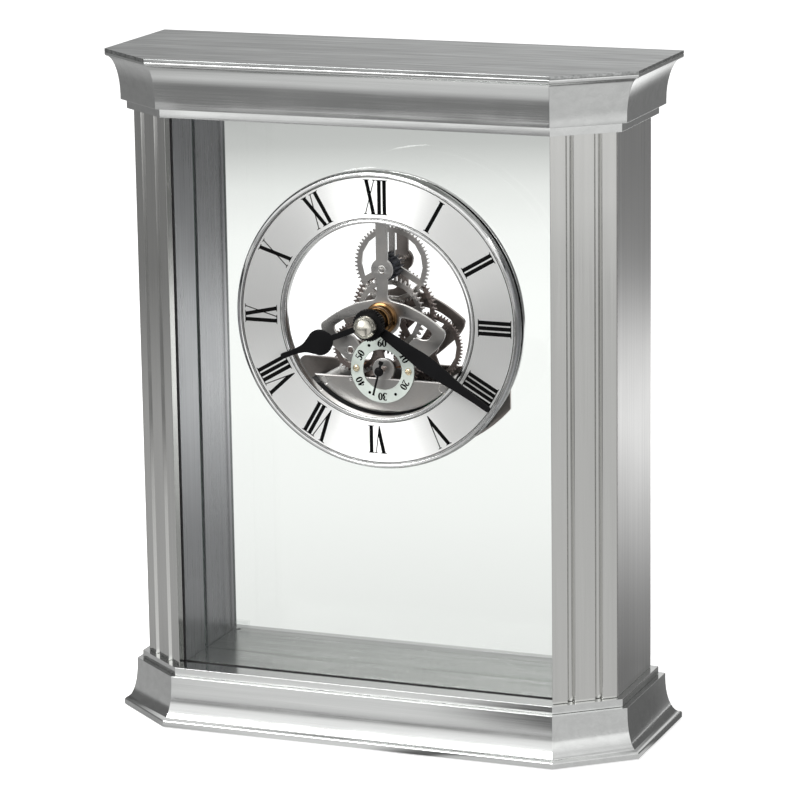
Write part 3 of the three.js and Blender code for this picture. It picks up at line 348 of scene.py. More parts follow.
ALUMINIUM = (0.80, 0.81, 0.80)
NICKEL = (0.50, 0.49, 0.475)
WIRE = 0.16  # the coil's wire, in millimetres
MATERIALS = {
    "moulding": polished_metal("moulding_polish", ALUMINIUM, "x", 0.13, 0.05),
    "pilaster": polished_metal("pilaster_polish", (0.74, 0.74, 0.72), "z", 0.12, 0.03),
    "side": brushed_metal("side_brushing", (0.82, 0.82, 0.81), "z", 0.3, 0.18),
    "inner": brushed_metal("inner_brushing", (0.54, 0.545, 0.565), "z", 0.28, 0.17),
    "top": brushed_metal("top_brushing", (0.46, 0.47, 0.465), "x", 0.3, 0.55, relief=1.4, coarse=3.0),
    "floor": brushed_metal("floor_brushing", (0.57, 0.59, 0.57), "x", 0.24, 0.3, coarse=1.8),
    "chrome": chrome_metal("ring_chrome", (0.86, 0.865, 0.86), 0.07),
    "ball": chrome_metal("ball_chrome", (0.80, 0.77, 0.68), 0.2),
    "dial": turned_metal("dial_spun", (0.92, 0.925, 0.91), 0.46, DIAL, 0.02, 0.95, 0.4, 0.76),
    "plate": stamped_metal("plate_nickel", NICKEL, 0.3, 0.06, highlight_rim_metal=0.45),
    "pillar": stamped_metal("pillar_nickel", NICKEL, 0.3, 0.06),
    "rear_plate": stamped_metal("rear_plate_nickel", (0.33, 0.30, 0.285)),
    "wheel": stamped_metal("wheel_nickel", (0.50, 0.485, 0.47), 0.3),
    # a darker, browner copy of the wheel nickel for the wheels behind the front plate: painted shade
    "shaded_wheel": stamped_metal("shaded_wheel_nickel", (0.26, 0.22, 0.205), 0.32),
    "brass": turned_metal("turned_brass", (0.60, 0.38, 0.14), 0.25, DIAL, 0.08),
    "bushing": turned_metal("turned_bronze", (0.21, 0.12, 0.052), 0.2, DIAL, 0.25),
    "steel": stamped_metal("turned_steel", (0.62, 0.62, 0.62), 0.28),
    "bush": stamped_metal("bearing_steel", (0.58, 0.57, 0.55), 0.36),
    "screw": turned_metal("screw_brass", (0.78, 0.68, 0.48), 0.22, SECONDS, 0.05),
    "copper": wound_wire("wound_copper", (0.72, 0.36, 0.16), WIRE * MM),
    "black": moulded("hand_paint", (0.004, 0.004, 0.0045), 0.5, 5200.0, 0.000006, specular=0.12),
    "ink": moulded("printing_ink", (0.003, 0.003, 0.003), 0.6, 5200.0, 0.000002, specular=0.05),
    "plastic": moulded("grey_plastic", (0.055, 0.06, 0.075), 0.4),
    "dark_plastic": moulded("battery_bay_plastic", (0.035, 0.036, 0.038), 0.45),
    # near-black strips in the grooves beside the pilasters and along the floor's front edge; the floor's
    # strip is painted shade
    "rubber": moulded("seam_dark_strip", (0.006, 0.006, 0.006), 0.75, 3200.0, 0.00002),
    "enamel": moulded("seconds_enamel", (0.62, 0.68, 0.63), 0.4, 4200.0, 0.000005),
    "felt": felt_cloth("base_felt", (0.02, 0.024, 0.021)),
    "glass": clear_glass("float_glass", (0.98, 0.984, 0.98), (0.05, 0.09, 0.075), 0.75),
    "clear": clear_glass("clear_plastic", (0.975, 0.978, 0.978), (0.6, 0.62, 0.62), 0.08),
    "board": circuit_mask("solder_mask", (0.02, 0.11, 0.045)),
}

CAD_FINISH = {
    "moulding": ("base_moulding", "base_step", "cap_band", "cap_moulding"),
    "top": ("cap_top_plate",),
    "floor": ("floor_panel", "ceiling_panel"),
    "pilaster": ("left_pilaster", "right_pilaster"),
    "side": ("left_side_panel", "right_side_panel"),
    "inner": ("left_inner_panel", "right_inner_panel"),
    "rubber": ("left_gasket", "right_gasket"),
    "felt": ("base_board",),
    "glass": ("movement_glass", "rear_door_glass"),
    "clear": ("door_pivot_lower", "door_pivot_upper"),
    "chrome": ("door_knob",),
    "wheel": ("minute_wheel", "hour_wheel"),
    # the wheels behind the front plate take the darker copy of the wheel nickel: painted shade
    "shaded_wheel": ("seconds_wheel", "intermediate_wheel", "third_wheel", "centre_wheel", "cannon_pinion"),
    "steel": ("rotor", "stator", "coil_core", "battery_contact_positive", "battery_contact_negative",
              "left_tie_bolt", "right_tie_bolt"),
    "brass": ("rotor_bridge",),
    "board": ("circuit_board",),
    "plastic": ("minute_pinion",),
    "dark_plastic": ("setting_knob", "battery_case"),
}
# how far edges are rounded, in millimetres
FINE_EDGE = 0.05
WIDER_EDGES = {
    0.08: ("base_moulding", "base_step"),
    0.15: ("cap_band", "cap_moulding", "cap_top_plate", "movement_glass"),
    0.2: ("rear_door_glass", "left_side_panel", "right_side_panel"),
    0.22: ("left_pilaster", "right_pilaster"),
    0.3: ("battery_case", "base_board"),
}
EDGE = {node: width for width, nodes in WIDER_EDGES.items() for node in nodes}
EDGE_ANGLE = 32.0
WELD_GAP = 1e-6


# ---- CAD nodes that stay
def finish_cad_node(node, material):
    """Gives a faceted node its material, small rounded edges and smoothly shaded curves."""
    obj = NODES[node]
    obj.data.materials.clear()
    obj.data.materials.append(MATERIALS[material])
    obj.modifiers.new("weld", "WELD").merge_threshold = WELD_GAP
    bevel = obj.modifiers.new("edges", "BEVEL")
    bevel.width = EDGE.get(node, FINE_EDGE) * MM
    bevel.segments = 2
    bevel.limit_method = "ANGLE"
    bevel.angle_limit = math.radians(EDGE_ANGLE)
    obj.modifiers.new("normals", "WEIGHTED_NORMAL").keep_sharp = True
    obj.data.polygons.foreach_set("use_smooth", [True] * len(obj.data.polygons))


for material, nodes in CAD_FINISH.items():
    for node in nodes:
        finish_cad_node(node, material)


# ---- new pieces
def put(name, data):
    """A new object in the scene."""
    obj = bpy.data.objects.new(name, data)
    SCENE.collection.objects.link(obj)
    return obj


def piece(name, mesh, material, node, replaces=True):
    """A new mesh that rides on the body of a CAD node, and stands for it if it replaces it."""
    obj = put(name, mesh)
    mesh.materials.append(MATERIALS[material])
    obj.modifiers.new("normals", "WEIGHTED_NORMAL").keep_sharp = True
    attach(obj, BODY_OF[node])
    if replaces:
        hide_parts(node)
    return obj


def shade(mesh, angle):
    mesh.polygons.foreach_set("use_smooth", [True] * len(mesh.polygons))
    mesh.set_sharp_from_angle(angle=math.radians(angle))


def mesh_of(name, bm, sharp=None):
    """A mesh made from a bmesh: flat, or smooth with edges only where it bends more than sharp."""
    bmesh.ops.recalc_face_normals(bm, faces=bm.faces)
    mesh = bpy.data.meshes.new(name)
    bm.to_mesh(mesh)
    bm.free()
    if sharp:
        shade(mesh, sharp)
    return mesh


SHALLOW = math.radians(12)  # a bend less than this keeps its corner
MOST_CUT = 0.45  # how much of a side a rounded corner may take


def rounded(profile, radius, closed, steps=3):
    """The profile with its corners rounded off, as [radius, y] points."""
    points = [Vector(p) for p in profile]
    count = len(points)
    made = []
    for i, point in enumerate(points):
        before = points[i - 1] - point
        after = points[(i + 1) % count] - point
        back, ahead = before.normalized(), after.normalized()
        turn = math.pi - math.acos(max(-1.0, min(1.0, back.dot(ahead))))
        is_end = not closed and i in (0, count - 1)
        if is_end or turn < SHALLOW:
            made.append(point)
            continue
        cut = min(radius * math.tan(turn / 2), before.length * MOST_CUT, after.length * MOST_CUT)
        start, end = point + back * cut, point + ahead * cut
        for k in range(steps + 1):
            t = k / steps
            made.append(start * (1 - t) ** 2 + point * 2 * t * (1 - t) + end * t ** 2)
    return made


def circle(bm, centre, radius, y, segments):
    """Points round a line along Y. The radius is in millimetres and y in metres."""
    return [
        bm.verts.new((
            centre.x + radius * MM * math.sin(math.tau * k / segments),
            y,
            centre.z + radius * MM * math.cos(math.tau * k / segments),
        ))
        for k in range(segments)
    ]


def skin(bm, rings, closed):
    """Faces between each ring and the next. A ring may be a single point."""
    count = max(map(len, rings))
    for a, b in zip(rings, rings[1:] + (rings[:1] if closed else [])):
        for k in range(count):
            n = (k + 1) % count
            corners = (a[k % len(a)], a[n % len(a)], b[n % len(b)], b[k % len(b)])
            unique = list(dict.fromkeys(corners))
            if len(unique) > 2:
                bm.faces.new(unique)


def prism(bm, near, far):
    """A solid between two outlines."""
    bm.faces.new(near)
    bm.faces.new(far[::-1])
    for i in range(len(near)):
        j = (i + 1) % len(near)
        bm.faces.new((near[j], near[i], far[i], far[j]))


def turned(name, profile, centre, segments, radius):
    """A mesh of revolution about Y through centre. The profile is in millimetres, [radius, y].

    A profile that starts on the axis is open there, and any other closes on itself.
    """
    closed = profile[0][0] > 0.0
    points = rounded(profile, radius, closed) if radius else [Vector(p) for p in profile]
    bm = bmesh.new()
    rings = [circle(bm, centre, r, y * MM, segments if r > 1e-6 else 1) for r, y in points]
    skin(bm, rings, closed)
    return mesh_of(name, bm, 35)


def turned_piece(node, material, profile, centre=DIAL, segments=240, radius=0.12, name="", replaces=True):
    """A turned mesh that rides with a node, and stands for it if it replaces it."""
    name = name or node + "_fine"
    return piece(name, turned(name, profile, centre, segments, radius), material, node, replaces)


# ---- outlines taken from CAD nodes
FLAT = 0.999  # how squarely a face must look towards -Y
SAME = 1e-5  # metres within which points are one
SHORT = 1e-4  # millimetres
STRAIGHT = math.radians(0.4)
STRAIGHT_SIDE = math.radians(1)


def outlines(node, y):
    """The closed outlines of a node's flat face at y that looks towards -Y, in millimetres."""
    mesh = NODES[node].data
    key = {}
    ids = [key.setdefault(tuple(round(c / SAME) for c in v.co), len(key)) for v in mesh.vertices]
    place = {i: vertex.co.xz / MM for i, vertex in zip(ids, mesh.vertices)}
    edges = {}
    for polygon in mesh.polygons:
        if polygon.normal.y > -FLAT or abs(mesh.vertices[polygon.vertices[0]].co.y - y) > SAME:
            continue
        corners = [ids[v] for v in polygon.vertices]
        for a, b in zip(corners, corners[1:] + corners[:1]):
            if a != b and not edges.pop((b, a), False):
                edges[(a, b)] = True
    following = {}
    for a, b in edges:
        following.setdefault(a, []).append(b)
    loops = []
    while following:
        start = next(iter(following))
        loop = [start]
        here = start
        while True:
            options = following[here]
            onward = options.pop()
            if not options:
                del following[here]
            if onward == start:
                break
            loop.append(onward)
            here = onward
        loops.append([place[i] for i in loop])
    return loops


def straightened(points):
    """Drops the points that lie on a straight line between their neighbours."""
    kept = []
    for i, point in enumerate(points):
        back = point - points[i - 1]
        ahead = points[(i + 1) % len(points)] - point
        if back.length < SHORT:
            continue
        if ahead.length <= SHORT or back.angle(ahead) >= STRAIGHT:
            kept.append(point)
    return kept


def curved(points, corner=40.0, step=0.35, straight=2.6):
    """The outline with its faceted bends turned into smooth curves. Sharp corners stay."""
    points = straightened(points)
    count = len(points)
    sides = [points[(i + 1) % count] - points[i] for i in range(count)]
    tangents = []
    for i in range(count):
        back, ahead = sides[i - 1], sides[i]
        if back.angle(ahead) > math.radians(corner):
            tangents.append(None)
        elif back.length > straight * ahead.length:
            tangents.append(back.normalized())
        elif ahead.length > straight * back.length:
            tangents.append(ahead.normalized())
        else:
            mixed = back.normalized() * ahead.length + ahead.normalized() * back.length
            tangents.append(mixed.normalized())
    made = []
    for i in range(count):
        start, end = points[i], points[(i + 1) % count]
        along = (end - start).normalized()
        first, last = tangents[i], tangents[(i + 1) % count]
        made.append(start)
        if first is None and last is None:
            continue
        if first is None:
            first = 2 * along.dot(last) * along - last
        if last is None:
            last = 2 * along.dot(first) * along - first
        length = (end - start).length
        if max(along.angle(first), along.angle(last)) < STRAIGHT_SIDE:
            continue
        parts = max(2, min(8, round(length / step)))
        for k in range(1, parts):
            t = k / parts
            made.append(
                (2 * t ** 3 - 3 * t ** 2 + 1) * start
                + (t ** 3 - 2 * t ** 2 + t) * length * first
                + (3 * t ** 2 - 2 * t ** 3) * end
                + (t ** 3 - t ** 2) * length * last
            )
    return made


def evaluated_mesh(obj):
    """A new mesh of an object as its modifiers leave it."""
    bpy.context.view_layer.update()
    return bpy.data.meshes.new_from_object(obj.evaluated_get(bpy.context.evaluated_depsgraph_get()))


def sheet_mesh(name, loops, front, back, edge):
    """A flat part with rounded edges, filled between outlines. All sizes are in millimetres."""
    curve = bpy.data.curves.new(name, "CURVE")
    curve.dimensions = "2D"
    curve.fill_mode = "BOTH"
    for loop in loops:
        spline = curve.splines.new("POLY")
        spline.points.add(len(loop) - 1)
        for point, (x, z) in zip(spline.points, loop):
            point.co = (x, z, 0.0, 1.0)
        spline.use_cyclic_u = True
    curve.extrude = (back - front) / 2 - edge
    curve.bevel_depth = edge
    curve.bevel_resolution = 1
    curve.offset = -edge
    holder = put(name, curve)
    filled = evaluated_mesh(holder)
    bpy.data.objects.remove(holder)
    bpy.data.curves.remove(curve)
    centred = Matrix.Translation((0, (front + back) / 2 * MM, 0))
    filled.transform(centred @ Matrix.Scale(MM, 4) @ Matrix.Rotation(math.pi / 2, 4, "X"))
    bm = bmesh.new()
    bm.from_mesh(filled)
    bpy.data.meshes.remove(filled)
    bmesh.ops.remove_doubles(bm, verts=bm.verts, dist=2e-7)
    return mesh_of(name, bm, 40)


def refined_sheet(node, material, edge, corner=40.0):
    """A node of even thickness along Y, made again with smooth outlines and rounded edges."""
    front, back = y_span(node)
    loops = [curved(loop, corner) for loop in outlines(node, front * MM)]
    return piece(node + "_fine", sheet_mesh(node + "_fine", loops, front, back, edge), material, node)


refined_sheet("front_plate", "plate", 0.3)
refined_sheet("back_plate", "rear_plate", 0.25)
refined_sheet("hour_hand", "black", 0.14)
refined_sheet("minute_hand", "black", 0.14)
refined_sheet("seconds_hand", "black", 0.08)
refined_sheet("seconds_dial", "enamel", 0.06)
refined_sheet("hand_collar", "black", 0.1, 20.0)


# ---- dial rings
dial_front, dial_back = y_span("dial_ring")
dial_inner, dial_outer = reach("dial_ring", DIAL)


def square_section(inner, outer, front, back):
    return [(inner, front), (outer, front), (outer, back), (inner, back)]


def bezel_ring():
    front, back = y_span("bezel_ring")
    glass_front = y_span("movement_glass")[0]
    inner, outer = reach("bezel_ring", DIAL)
    throat = inner + 0.8
    profile = [
        (inner, dial_back + 0.3),
        (dial_outer + 0.1, dial_back + 0.3),
        (dial_outer + 0.1, front + 0.75),
        (dial_outer + 0.22, front + 0.3),
        (dial_outer + 0.55, front),
        (outer - 0.75, front + 0.2),
        (outer - 0.3, front + 0.62),
        (outer - 0.08, front + 1.3),
        (outer, front + 2.0),
        (outer - 0.25, front + 2.9),
        (outer - 0.8, front + 3.6),
        (outer - 1.7, glass_front - 0.05),
        (throat, glass_front - 0.05),
        (throat, back),
        (inner, back),
    ]
    turned_piece("bezel_ring", "chrome", profile, radius=0.15)


def carrier_ring():
    front, back = y_span("carrier_ring")
    inner, outer = reach("carrier_ring", DIAL)
    lip = dial_inner - 0.05
    step = 1.9
    wall = 1.6
    profile = [
        (inner, front + 1.2),
        (inner + 0.12, front + 0.5),
        (inner + 0.4, front + 0.1),
        (lip - 0.55, front),
        (lip - 0.2, front + 0.25),
        (lip, dial_front + 0.05),
        (lip, dial_back + 0.1),
        (outer, dial_back + 0.1),
        (outer, back),
        (outer - wall, back),
        (outer - wall, back - step),
        (inner, back - step),
    ]
    turned_piece("carrier_ring", "chrome", profile)


dial_section = square_section(dial_inner, dial_outer, dial_front, dial_back)
turned_piece("dial_ring", "dial", dial_section, name="numeral_ring")
bezel_ring()
carrier_ring()
clamp_section = square_section(*reach("clamp_ring", DIAL), *y_span("clamp_ring"))
turned_piece("clamp_ring", "chrome", clamp_section, segments=200, radius=0.25)


# ---- turned parts
plate_front, plate_back = y_span("front_plate")
GAP = 0.05


def angles(start, end, steps):
    """Even steps from one angle to another."""
    return [start + (end - start) * k / steps for k in range(steps + 1)]


def ball_nut():
    front, back = y_span("ball_nut")
    radius = reach("ball_nut", DIAL)[1]
    centre = front + radius
    end = math.asin(min(1.0, (back - centre) / radius))
    arc = [
        (radius * math.cos(turn), centre + radius * math.sin(turn))
        for turn in angles(-math.pi / 2, end, 22)
    ]
    profile = [(0.0, front), *arc[1:], (arc[-1][0] - 0.3, back), (0.0, back)]
    turned_piece("ball_nut", "ball", profile, segments=64, radius=0.0)


def pillar(node):
    """A turned pillar riveted into both plates."""
    back = y_span(node)[1]
    rear_front = y_span("back_plate")[0]
    tenon = 1.2
    body = reach(node, middle(node))[1]
    flush = plate_front - 0.03
    profile = [
        (0.0, flush),
        (tenon - 0.08, flush),
        (tenon, flush + 0.1),
        (tenon, plate_back + GAP),
        (body, plate_back + GAP),
        (body, rear_front - GAP),
        (tenon, rear_front - GAP),
        (tenon, back - 0.15),
        (tenon - 0.2, back),
        (0.0, back),
    ]
    turned_piece(node, "pillar", profile, middle(node), 40, 0.0)


def dial_screw(node, lean):
    """A round-headed screw with a slot cut across it, which leans by some degrees."""
    front, back = y_span(node)
    axis = middle(node)
    head = reach(node, axis)[1]
    dial_face = y_span("seconds_dial")[0]
    rim = dial_face - 0.12
    shank = 0.6
    slot_width, slot_depth = 0.5, 0.3
    dome = [
        (head * math.sin(turn), rim - (rim - front) * math.cos(turn))
        for turn in angles(0.0, math.pi / 2, 7)
    ]
    profile = [*dome, (head, dial_face - GAP), (shank, dial_face - GAP), (shank, back), (0.0, back)]
    obj = turned_piece(node, "screw", profile, axis, 36, 0.0)
    size = Matrix.Diagonal((head * 3 * MM, slot_width * MM, slot_depth * MM, 1.0))
    turn = Matrix.Rotation(math.radians(lean), 4, "Y")
    slot = bmesh.new()
    bmesh.ops.create_cube(slot, matrix=Matrix.Translation((axis.x, front * MM, axis.z)) @ turn @ size)
    cutter = put("slot", mesh_of("slot", slot))
    cut = obj.modifiers.new("slot", "BOOLEAN")
    cut.object = cutter
    cut.operation = "DIFFERENCE"
    cut.solver = "EXACT"
    obj.data = evaluated_mesh(obj)
    obj.modifiers.clear()
    shade(obj.data, 35)
    bpy.data.objects.remove(cutter)


def centre_bushing():
    front, back = y_span("centre_bushing")
    inner, outer = reach("centre_bushing", DIAL)
    neck = 4.4
    groove = neck - 0.25
    shank = 3.2
    profile = [
        (inner, front),
        (neck - 0.4, front),
        (neck, front + 0.4),
        (neck, front + 1.5),
        (groove, front + 1.8),
        (groove, front + 2.2),
        (neck, front + 2.5),
        (neck, plate_front - 1.55),
        (outer - 0.2, plate_front - 1.3),
        (outer, plate_front - 1.1),
        (outer, plate_front - GAP),
        (shank, plate_front - GAP),
        (shank, back),
        (inner, back),
    ]
    turned_piece("centre_bushing", "bushing", profile, segments=80)


def bearing_bush(name, wheel):
    """A pressed-in bearing that stands a little proud of the front plate, round a wheel's pivot."""
    inner, outer = 0.85, 1.45
    proud = plate_front - 0.16
    profile = [
        (inner, plate_front - 0.02),
        (inner + 0.18, proud),
        (outer - 0.22, proud),
        (outer, plate_front + 0.02),
        (outer, plate_front + 0.06),
        (inner, plate_front + 0.06),
    ]
    turned_piece("front_plate", "bush", profile, middle(wheel), 40, 0.04, name, replaces=False)


def floor_gap_shade():
    """A black strip along the front edge of the floor panel, where it stands in for the shadow in the gap:
    painted shade.
    """
    low, high = box_mm("floor_panel")
    profile = [(-0.03, 0.0), (-0.03, 0.34), (-0.2, 0.33), (-0.36, 0.22), (-0.42, 0.0)]
    bm = bmesh.new()
    left, right = (
        [bm.verts.new((x * MM, (low.y + y) * MM, (low.z + z) * MM)) for y, z in profile]
        for x in (low.x, high.x)
    )
    prism(bm, left, right)
    piece("floor_gap_shade", mesh_of("floor_gap_shade", bm), "rubber", "floor_panel", replaces=False)


def hand_cap():
    """The pressed cap over the hub of the seconds hand."""
    tip = y_span("seconds_wheel")[0]
    profile = [(0.0, tip - 0.06), (0.7, tip - 0.04), (1.0, tip + 0.15), (1.08, tip + 0.5), (0.0, tip + 0.5)]
    turned_piece("seconds_hand", "black", profile, middle("seconds_wheel"), 40, 0.05, "seconds_hand_cap",
                 replaces=False)


bearing_bush("top_bearing", "minute_wheel")
bearing_bush("left_bearing", "intermediate_wheel")
bearing_bush("right_bearing", "third_wheel")
floor_gap_shade()
hand_cap()
ball_nut()
for node in ("pillar_top", "pillar_left", "pillar_right"):
    pillar(node)
dial_screw("seconds_dial_screw_left", -20)
dial_screw("seconds_dial_screw_right", 35)
centre_bushing()


# ---- coil and cell
def lengthwise_piece(node, material, profile, segments, radius):
    """A turned mesh that lies along X and stands for a node."""
    name = node + "_fine"
    mesh = turned(name, profile, Vector((0, 0, 0)), segments, radius)
    mesh.transform(Matrix.Translation(middle(node)) @ Matrix.Rotation(-math.pi / 2, 4, "Z"))
    mesh.update()
    piece(name, mesh, material, node)


def half_and_radius(node):
    """Half the length along X, and the radius, in millimetres."""
    low, high = box_mm(node)
    return (high.x - low.x) / 2, (high.z - low.z) / 2


def coil():
    half, radius = half_and_radius("coil")
    flange = 0.6
    valley, crest = radius - 0.26, radius - 0.18
    profile = [(0.0, -half), (radius, -half), (radius, -half + flange)]
    for k in range(round((2 * half - 2 * flange) / WIRE)):
        start = -half + flange + k * WIRE
        profile += [(valley, start), (crest, start + WIRE / 2)]
    profile += [(valley, half - flange), (radius, half - flange), (radius, half), (0.0, half)]
    lengthwise_piece("coil", "copper", profile, 36, 0.0)


def cell_sleeve():
    """Two printed bands without any lettering, and bare metal at both ends."""
    made, tree, bsdf = new_material("cell_sleeve", coat_weight=0.6, coat_roughness=0.08)
    x = part_of(tree, object_point(tree), "X")
    low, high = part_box("battery_cell")
    band = spread(tree, x, 0.0, 1.0, (high.x - 0.0135, high.x - 0.0133))
    front_end = spread(tree, x, 0.0, 1.0, (high.x - 0.00175, high.x - 0.0017))
    rear_end = spread(tree, x, 1.0, 0.0, (low.x + 0.0006, low.x + 0.00065))
    bare = math_of(tree, "MAXIMUM", front_end, rear_end)
    scuffs = grain(tree, (60.0, 700.0, 700.0), 4.0)
    sleeve = between(tree, band, (0.012, 0.03, 0.085, 1.0), (0.55, 0.30, 0.08, 1.0))
    worn = between(tree, spread(tree, scuffs, 0.0, 0.2, (0.6, 0.8)), sleeve, (0.3, 0.3, 0.3, 1.0))
    drive(bsdf, "Base Color", between(tree, bare, worn, (0.7, 0.69, 0.66, 1.0)))
    drive(bsdf, "Metallic", math_of(tree, "MAXIMUM", bare, math_of(tree, "MULTIPLY", band, 0.7)))
    drive(bsdf, "Roughness", spread(tree, scuffs, 0.22, 0.36))
    return made


def battery_cell():
    half, radius = half_and_radius("battery_cell")
    nub = 2.7
    shoulder = half - 1.2
    profile = [
        (0.0, -half + 0.15),
        (radius - 2.4, -half + 0.15),
        (radius - 2.0, -half),
        (radius - 0.7, -half),
        (radius - 0.1, -half + 0.3),
        (radius, -half + 0.8),
        (radius, shoulder - 0.8),
        (radius - 0.15, shoulder - 0.2),
        (radius - 0.8, shoulder),
        (radius - 1.6, shoulder - 0.25),
        (nub + 0.5, shoulder - 0.25),
        (nub, shoulder),
        (nub, half - 0.35),
        (nub - 0.4, half),
        (0.0, half),
    ]
    MATERIALS["cell"] = cell_sleeve()
    lengthwise_piece("battery_cell", "cell", profile, 72, 0.12)


coil()
battery_cell()


# ---- printing on the dials
class Printing:
    """Flat shapes a hair thicker than nothing, laid on a face that looks towards -Y."""

    def __init__(self, face_y, thickness=0.03):
        self.bm = bmesh.new()
        self.front = (face_y - thickness) * MM
        self.back = (face_y + 0.01) * MM

    def shape(self, points):
        """One filled outline, convex or nearly so, given as X-Z points in metres."""
        area = sum(a[0] * b[1] - b[0] * a[1] for a, b in zip(points, points[1:] + points[:1]))
        ordered = points if area > 0 else points[::-1]
        prism(self.bm, *([self.bm.verts.new((x, y, z)) for x, z in ordered] for y in (self.front, self.back)))

    def band(self, inner, outer, segments=180):
        """A closed ring about the dial's axis."""
        section = ((inner, self.front), (outer, self.front), (outer, self.back), (inner, self.back))
        skin(self.bm, [circle(self.bm, DIAL, radius, y, segments) for radius, y in section], True)

    def finish(self, name, node):
        piece(name, mesh_of(name, self.bm), "ink", node, replaces=False)


def dial_point(centre, degrees, u, v):
    """A point v millimetres out from centre towards an hour, and u millimetres clockwise of it."""
    turn = math.radians(degrees)
    return (
        centre.x + (v * math.sin(turn) + u * math.cos(turn)) * MM,
        centre.z + (v * math.cos(turn) - u * math.sin(turn)) * MM,
    )


NUMERALS = ["XII", "I", "II", "III", "IIII", "V", "VI", "VII", "VIII", "IX", "X", "XI"]
NUMERAL_FOOT = 34.5
NUMERAL_TOP = 45.7
SHORT_TOP = 43.6  # the six stands shorter than the others
STEM = 1.25
HAIR = 0.32
SERIF = 0.3
SERIF_REACH = 0.5
SERIF_ROOT = 0.12
SERIF_EDGE = 0.12
LETTER_GAP = {"II": 1.78, "VI": 1.35, "XI": 1.68, "IX": 1.72, "IV": 1.4}
V_TIP = 2.5
V_WIDTH = 3.45
V_POINT = 3.4  # length of the sharpened end of a V's thick stroke
X_FALL = 2.45
X_RISE = 3.05
X_OVERHANG = 0.35


def strokes_of(numeral):
    """The strokes of a numeral from left to right: (kind, u at the top, u at the foot)."""
    strokes = []
    right = 0.0
    last = ""
    for letter in numeral:
        start = right + (LETTER_GAP[last + letter] if last else 0.0)
        if letter == "I":
            strokes.append(("stem", start, start))
            right = start
        elif letter == "V":
            strokes.append(("stem", start, start + V_TIP))
            strokes.append(("hair", start + V_WIDTH, start + V_TIP - (STEM - HAIR) / 2))
            right = start + V_WIDTH
        else:
            strokes.append(("stem", start, start + X_FALL))
            right = start + X_RISE - X_OVERHANG
            strokes.append(("hair", right, start - X_OVERHANG))
        last = letter
    ends = [end for _, top, foot in strokes for end in (top, foot)]
    shift = -(min(ends) + max(ends)) / 2
    return [(kind, top + shift, foot + shift) for kind, top, foot in strokes]


def serif(u, v, sign, half, lean):
    """The outline of a bracketed foot at one end of a stroke. Sign is the way along the stroke."""
    wide = half + SERIF_REACH
    neck = half + SERIF_ROOT
    shift = lean * sign * SERIF
    return [
        (u - wide, v),
        (u + wide, v),
        (u + wide * 0.98, v + sign * SERIF_EDGE),
        (u + neck + shift, v + sign * SERIF),
        (u - neck + shift, v + sign * SERIF),
        (u - wide * 0.98, v + sign * SERIF_EDGE),
    ]


def print_numeral(ink, hour, numeral):
    top = SHORT_TOP if numeral == "VI" else NUMERAL_TOP
    foot = NUMERAL_FOOT
    cut = (top - foot) / (NUMERAL_TOP - foot)
    for kind, u_end, u_foot in strokes_of(numeral):
        u_top = u_foot + (u_end - u_foot) * cut
        half = (STEM if kind == "stem" else HAIR) / 2
        tip = "V" in numeral and abs(u_top - u_foot) > 0.01
        lean = (u_top - u_foot) / (top - foot)
        waist = foot + (V_POINT if tip and kind == "stem" else 0.0)
        outline = [(u_top + half, top), (u_top - half, top), (u_foot - half, foot)]
        if waist > foot:
            outline.append((u_foot - half + HAIR, foot))
        outline.append((u_foot + lean * (waist - foot) + half, waist))
        shapes = [outline, serif(u_top, top, -1, half, lean)]
        if not tip:
            shapes.append(serif(u_foot, foot, 1, half, lean))
        for points in shapes:
            ink.shape([dial_point(DIAL, 30.0 * hour, u, v) for u, v in points])


def print_dial():
    ink = Printing(dial_front)
    for hour, numeral in enumerate(NUMERALS):
        print_numeral(ink, hour, numeral)
    ink.band(dial_outer - 0.36, dial_outer - 0.13)
    ink.band(dial_inner + 0.12, dial_inner + 0.34)
    ink.finish("dial_numerals", "dial_ring")


print_dial()

# Digits one unit high, as thick-and-thin strokes. A stroke is a list of (x, y, half width).
THICK = 0.125
THIN = 0.055
DIGIT_MIDDLE = 0.31
DIGIT_PITCH = 0.64
LAP = 0.008


def bowl(cx, cy, rx, ry, start, end, steps=16):
    """A curved stroke, thick where it runs upright and thin where it lies flat."""
    stroke = []
    for k in range(steps + 1):
        turn = math.radians(start + (end - start) * k / steps)
        weight = THIN + (THICK - THIN) * abs(math.cos(turn)) ** 1.5
        stroke.append((cx + rx * math.cos(turn), cy + ry * math.sin(turn), weight))
    return stroke


DIGITS = {
    "0": [bowl(0.31, 0.5, 0.21, 0.46, 0, 360, 32)],
    "1": [[(0.32, 0.02, THICK), (0.32, 0.97, THICK)], [(0.12, 0.82, THIN), (0.3, 0.95, THIN)],
          [(0.14, 0.03, THIN), (0.5, 0.03, THIN)]],
    "2": [[*bowl(0.3, 0.72, 0.2, 0.24, 165, -20, 14), (0.34, 0.36, 0.06), (0.1, 0.06, THIN)],
          [(0.08, 0.07, THIN), (0.54, 0.07, THIN), (0.56, 0.2, THIN)]],
    "3": [bowl(0.27, 0.74, 0.2, 0.22, 150, -90, 14), bowl(0.27, 0.27, 0.23, 0.25, 90, -150, 16)],
    "4": [[(0.4, 0.02, THICK), (0.4, 0.97, THICK)], [(0.36, 0.95, THIN), (0.05, 0.3, THIN)],
          [(0.04, 0.28, 0.04), (0.6, 0.28, 0.04)]],
    "5": [[(0.16, 0.93, THIN), (0.52, 0.93, THIN)], [(0.15, 0.95, THIN), (0.13, 0.52, THIN)],
          bowl(0.28, 0.3, 0.22, 0.28, 120, -150, 18)],
    "6": [bowl(0.31, 0.29, 0.2, 0.26, 0, 360, 28), [(0.5, 0.95, THIN), (0.28, 0.82, 0.05),
          (0.14, 0.58, THICK), (0.12, 0.3, THICK)]],
}


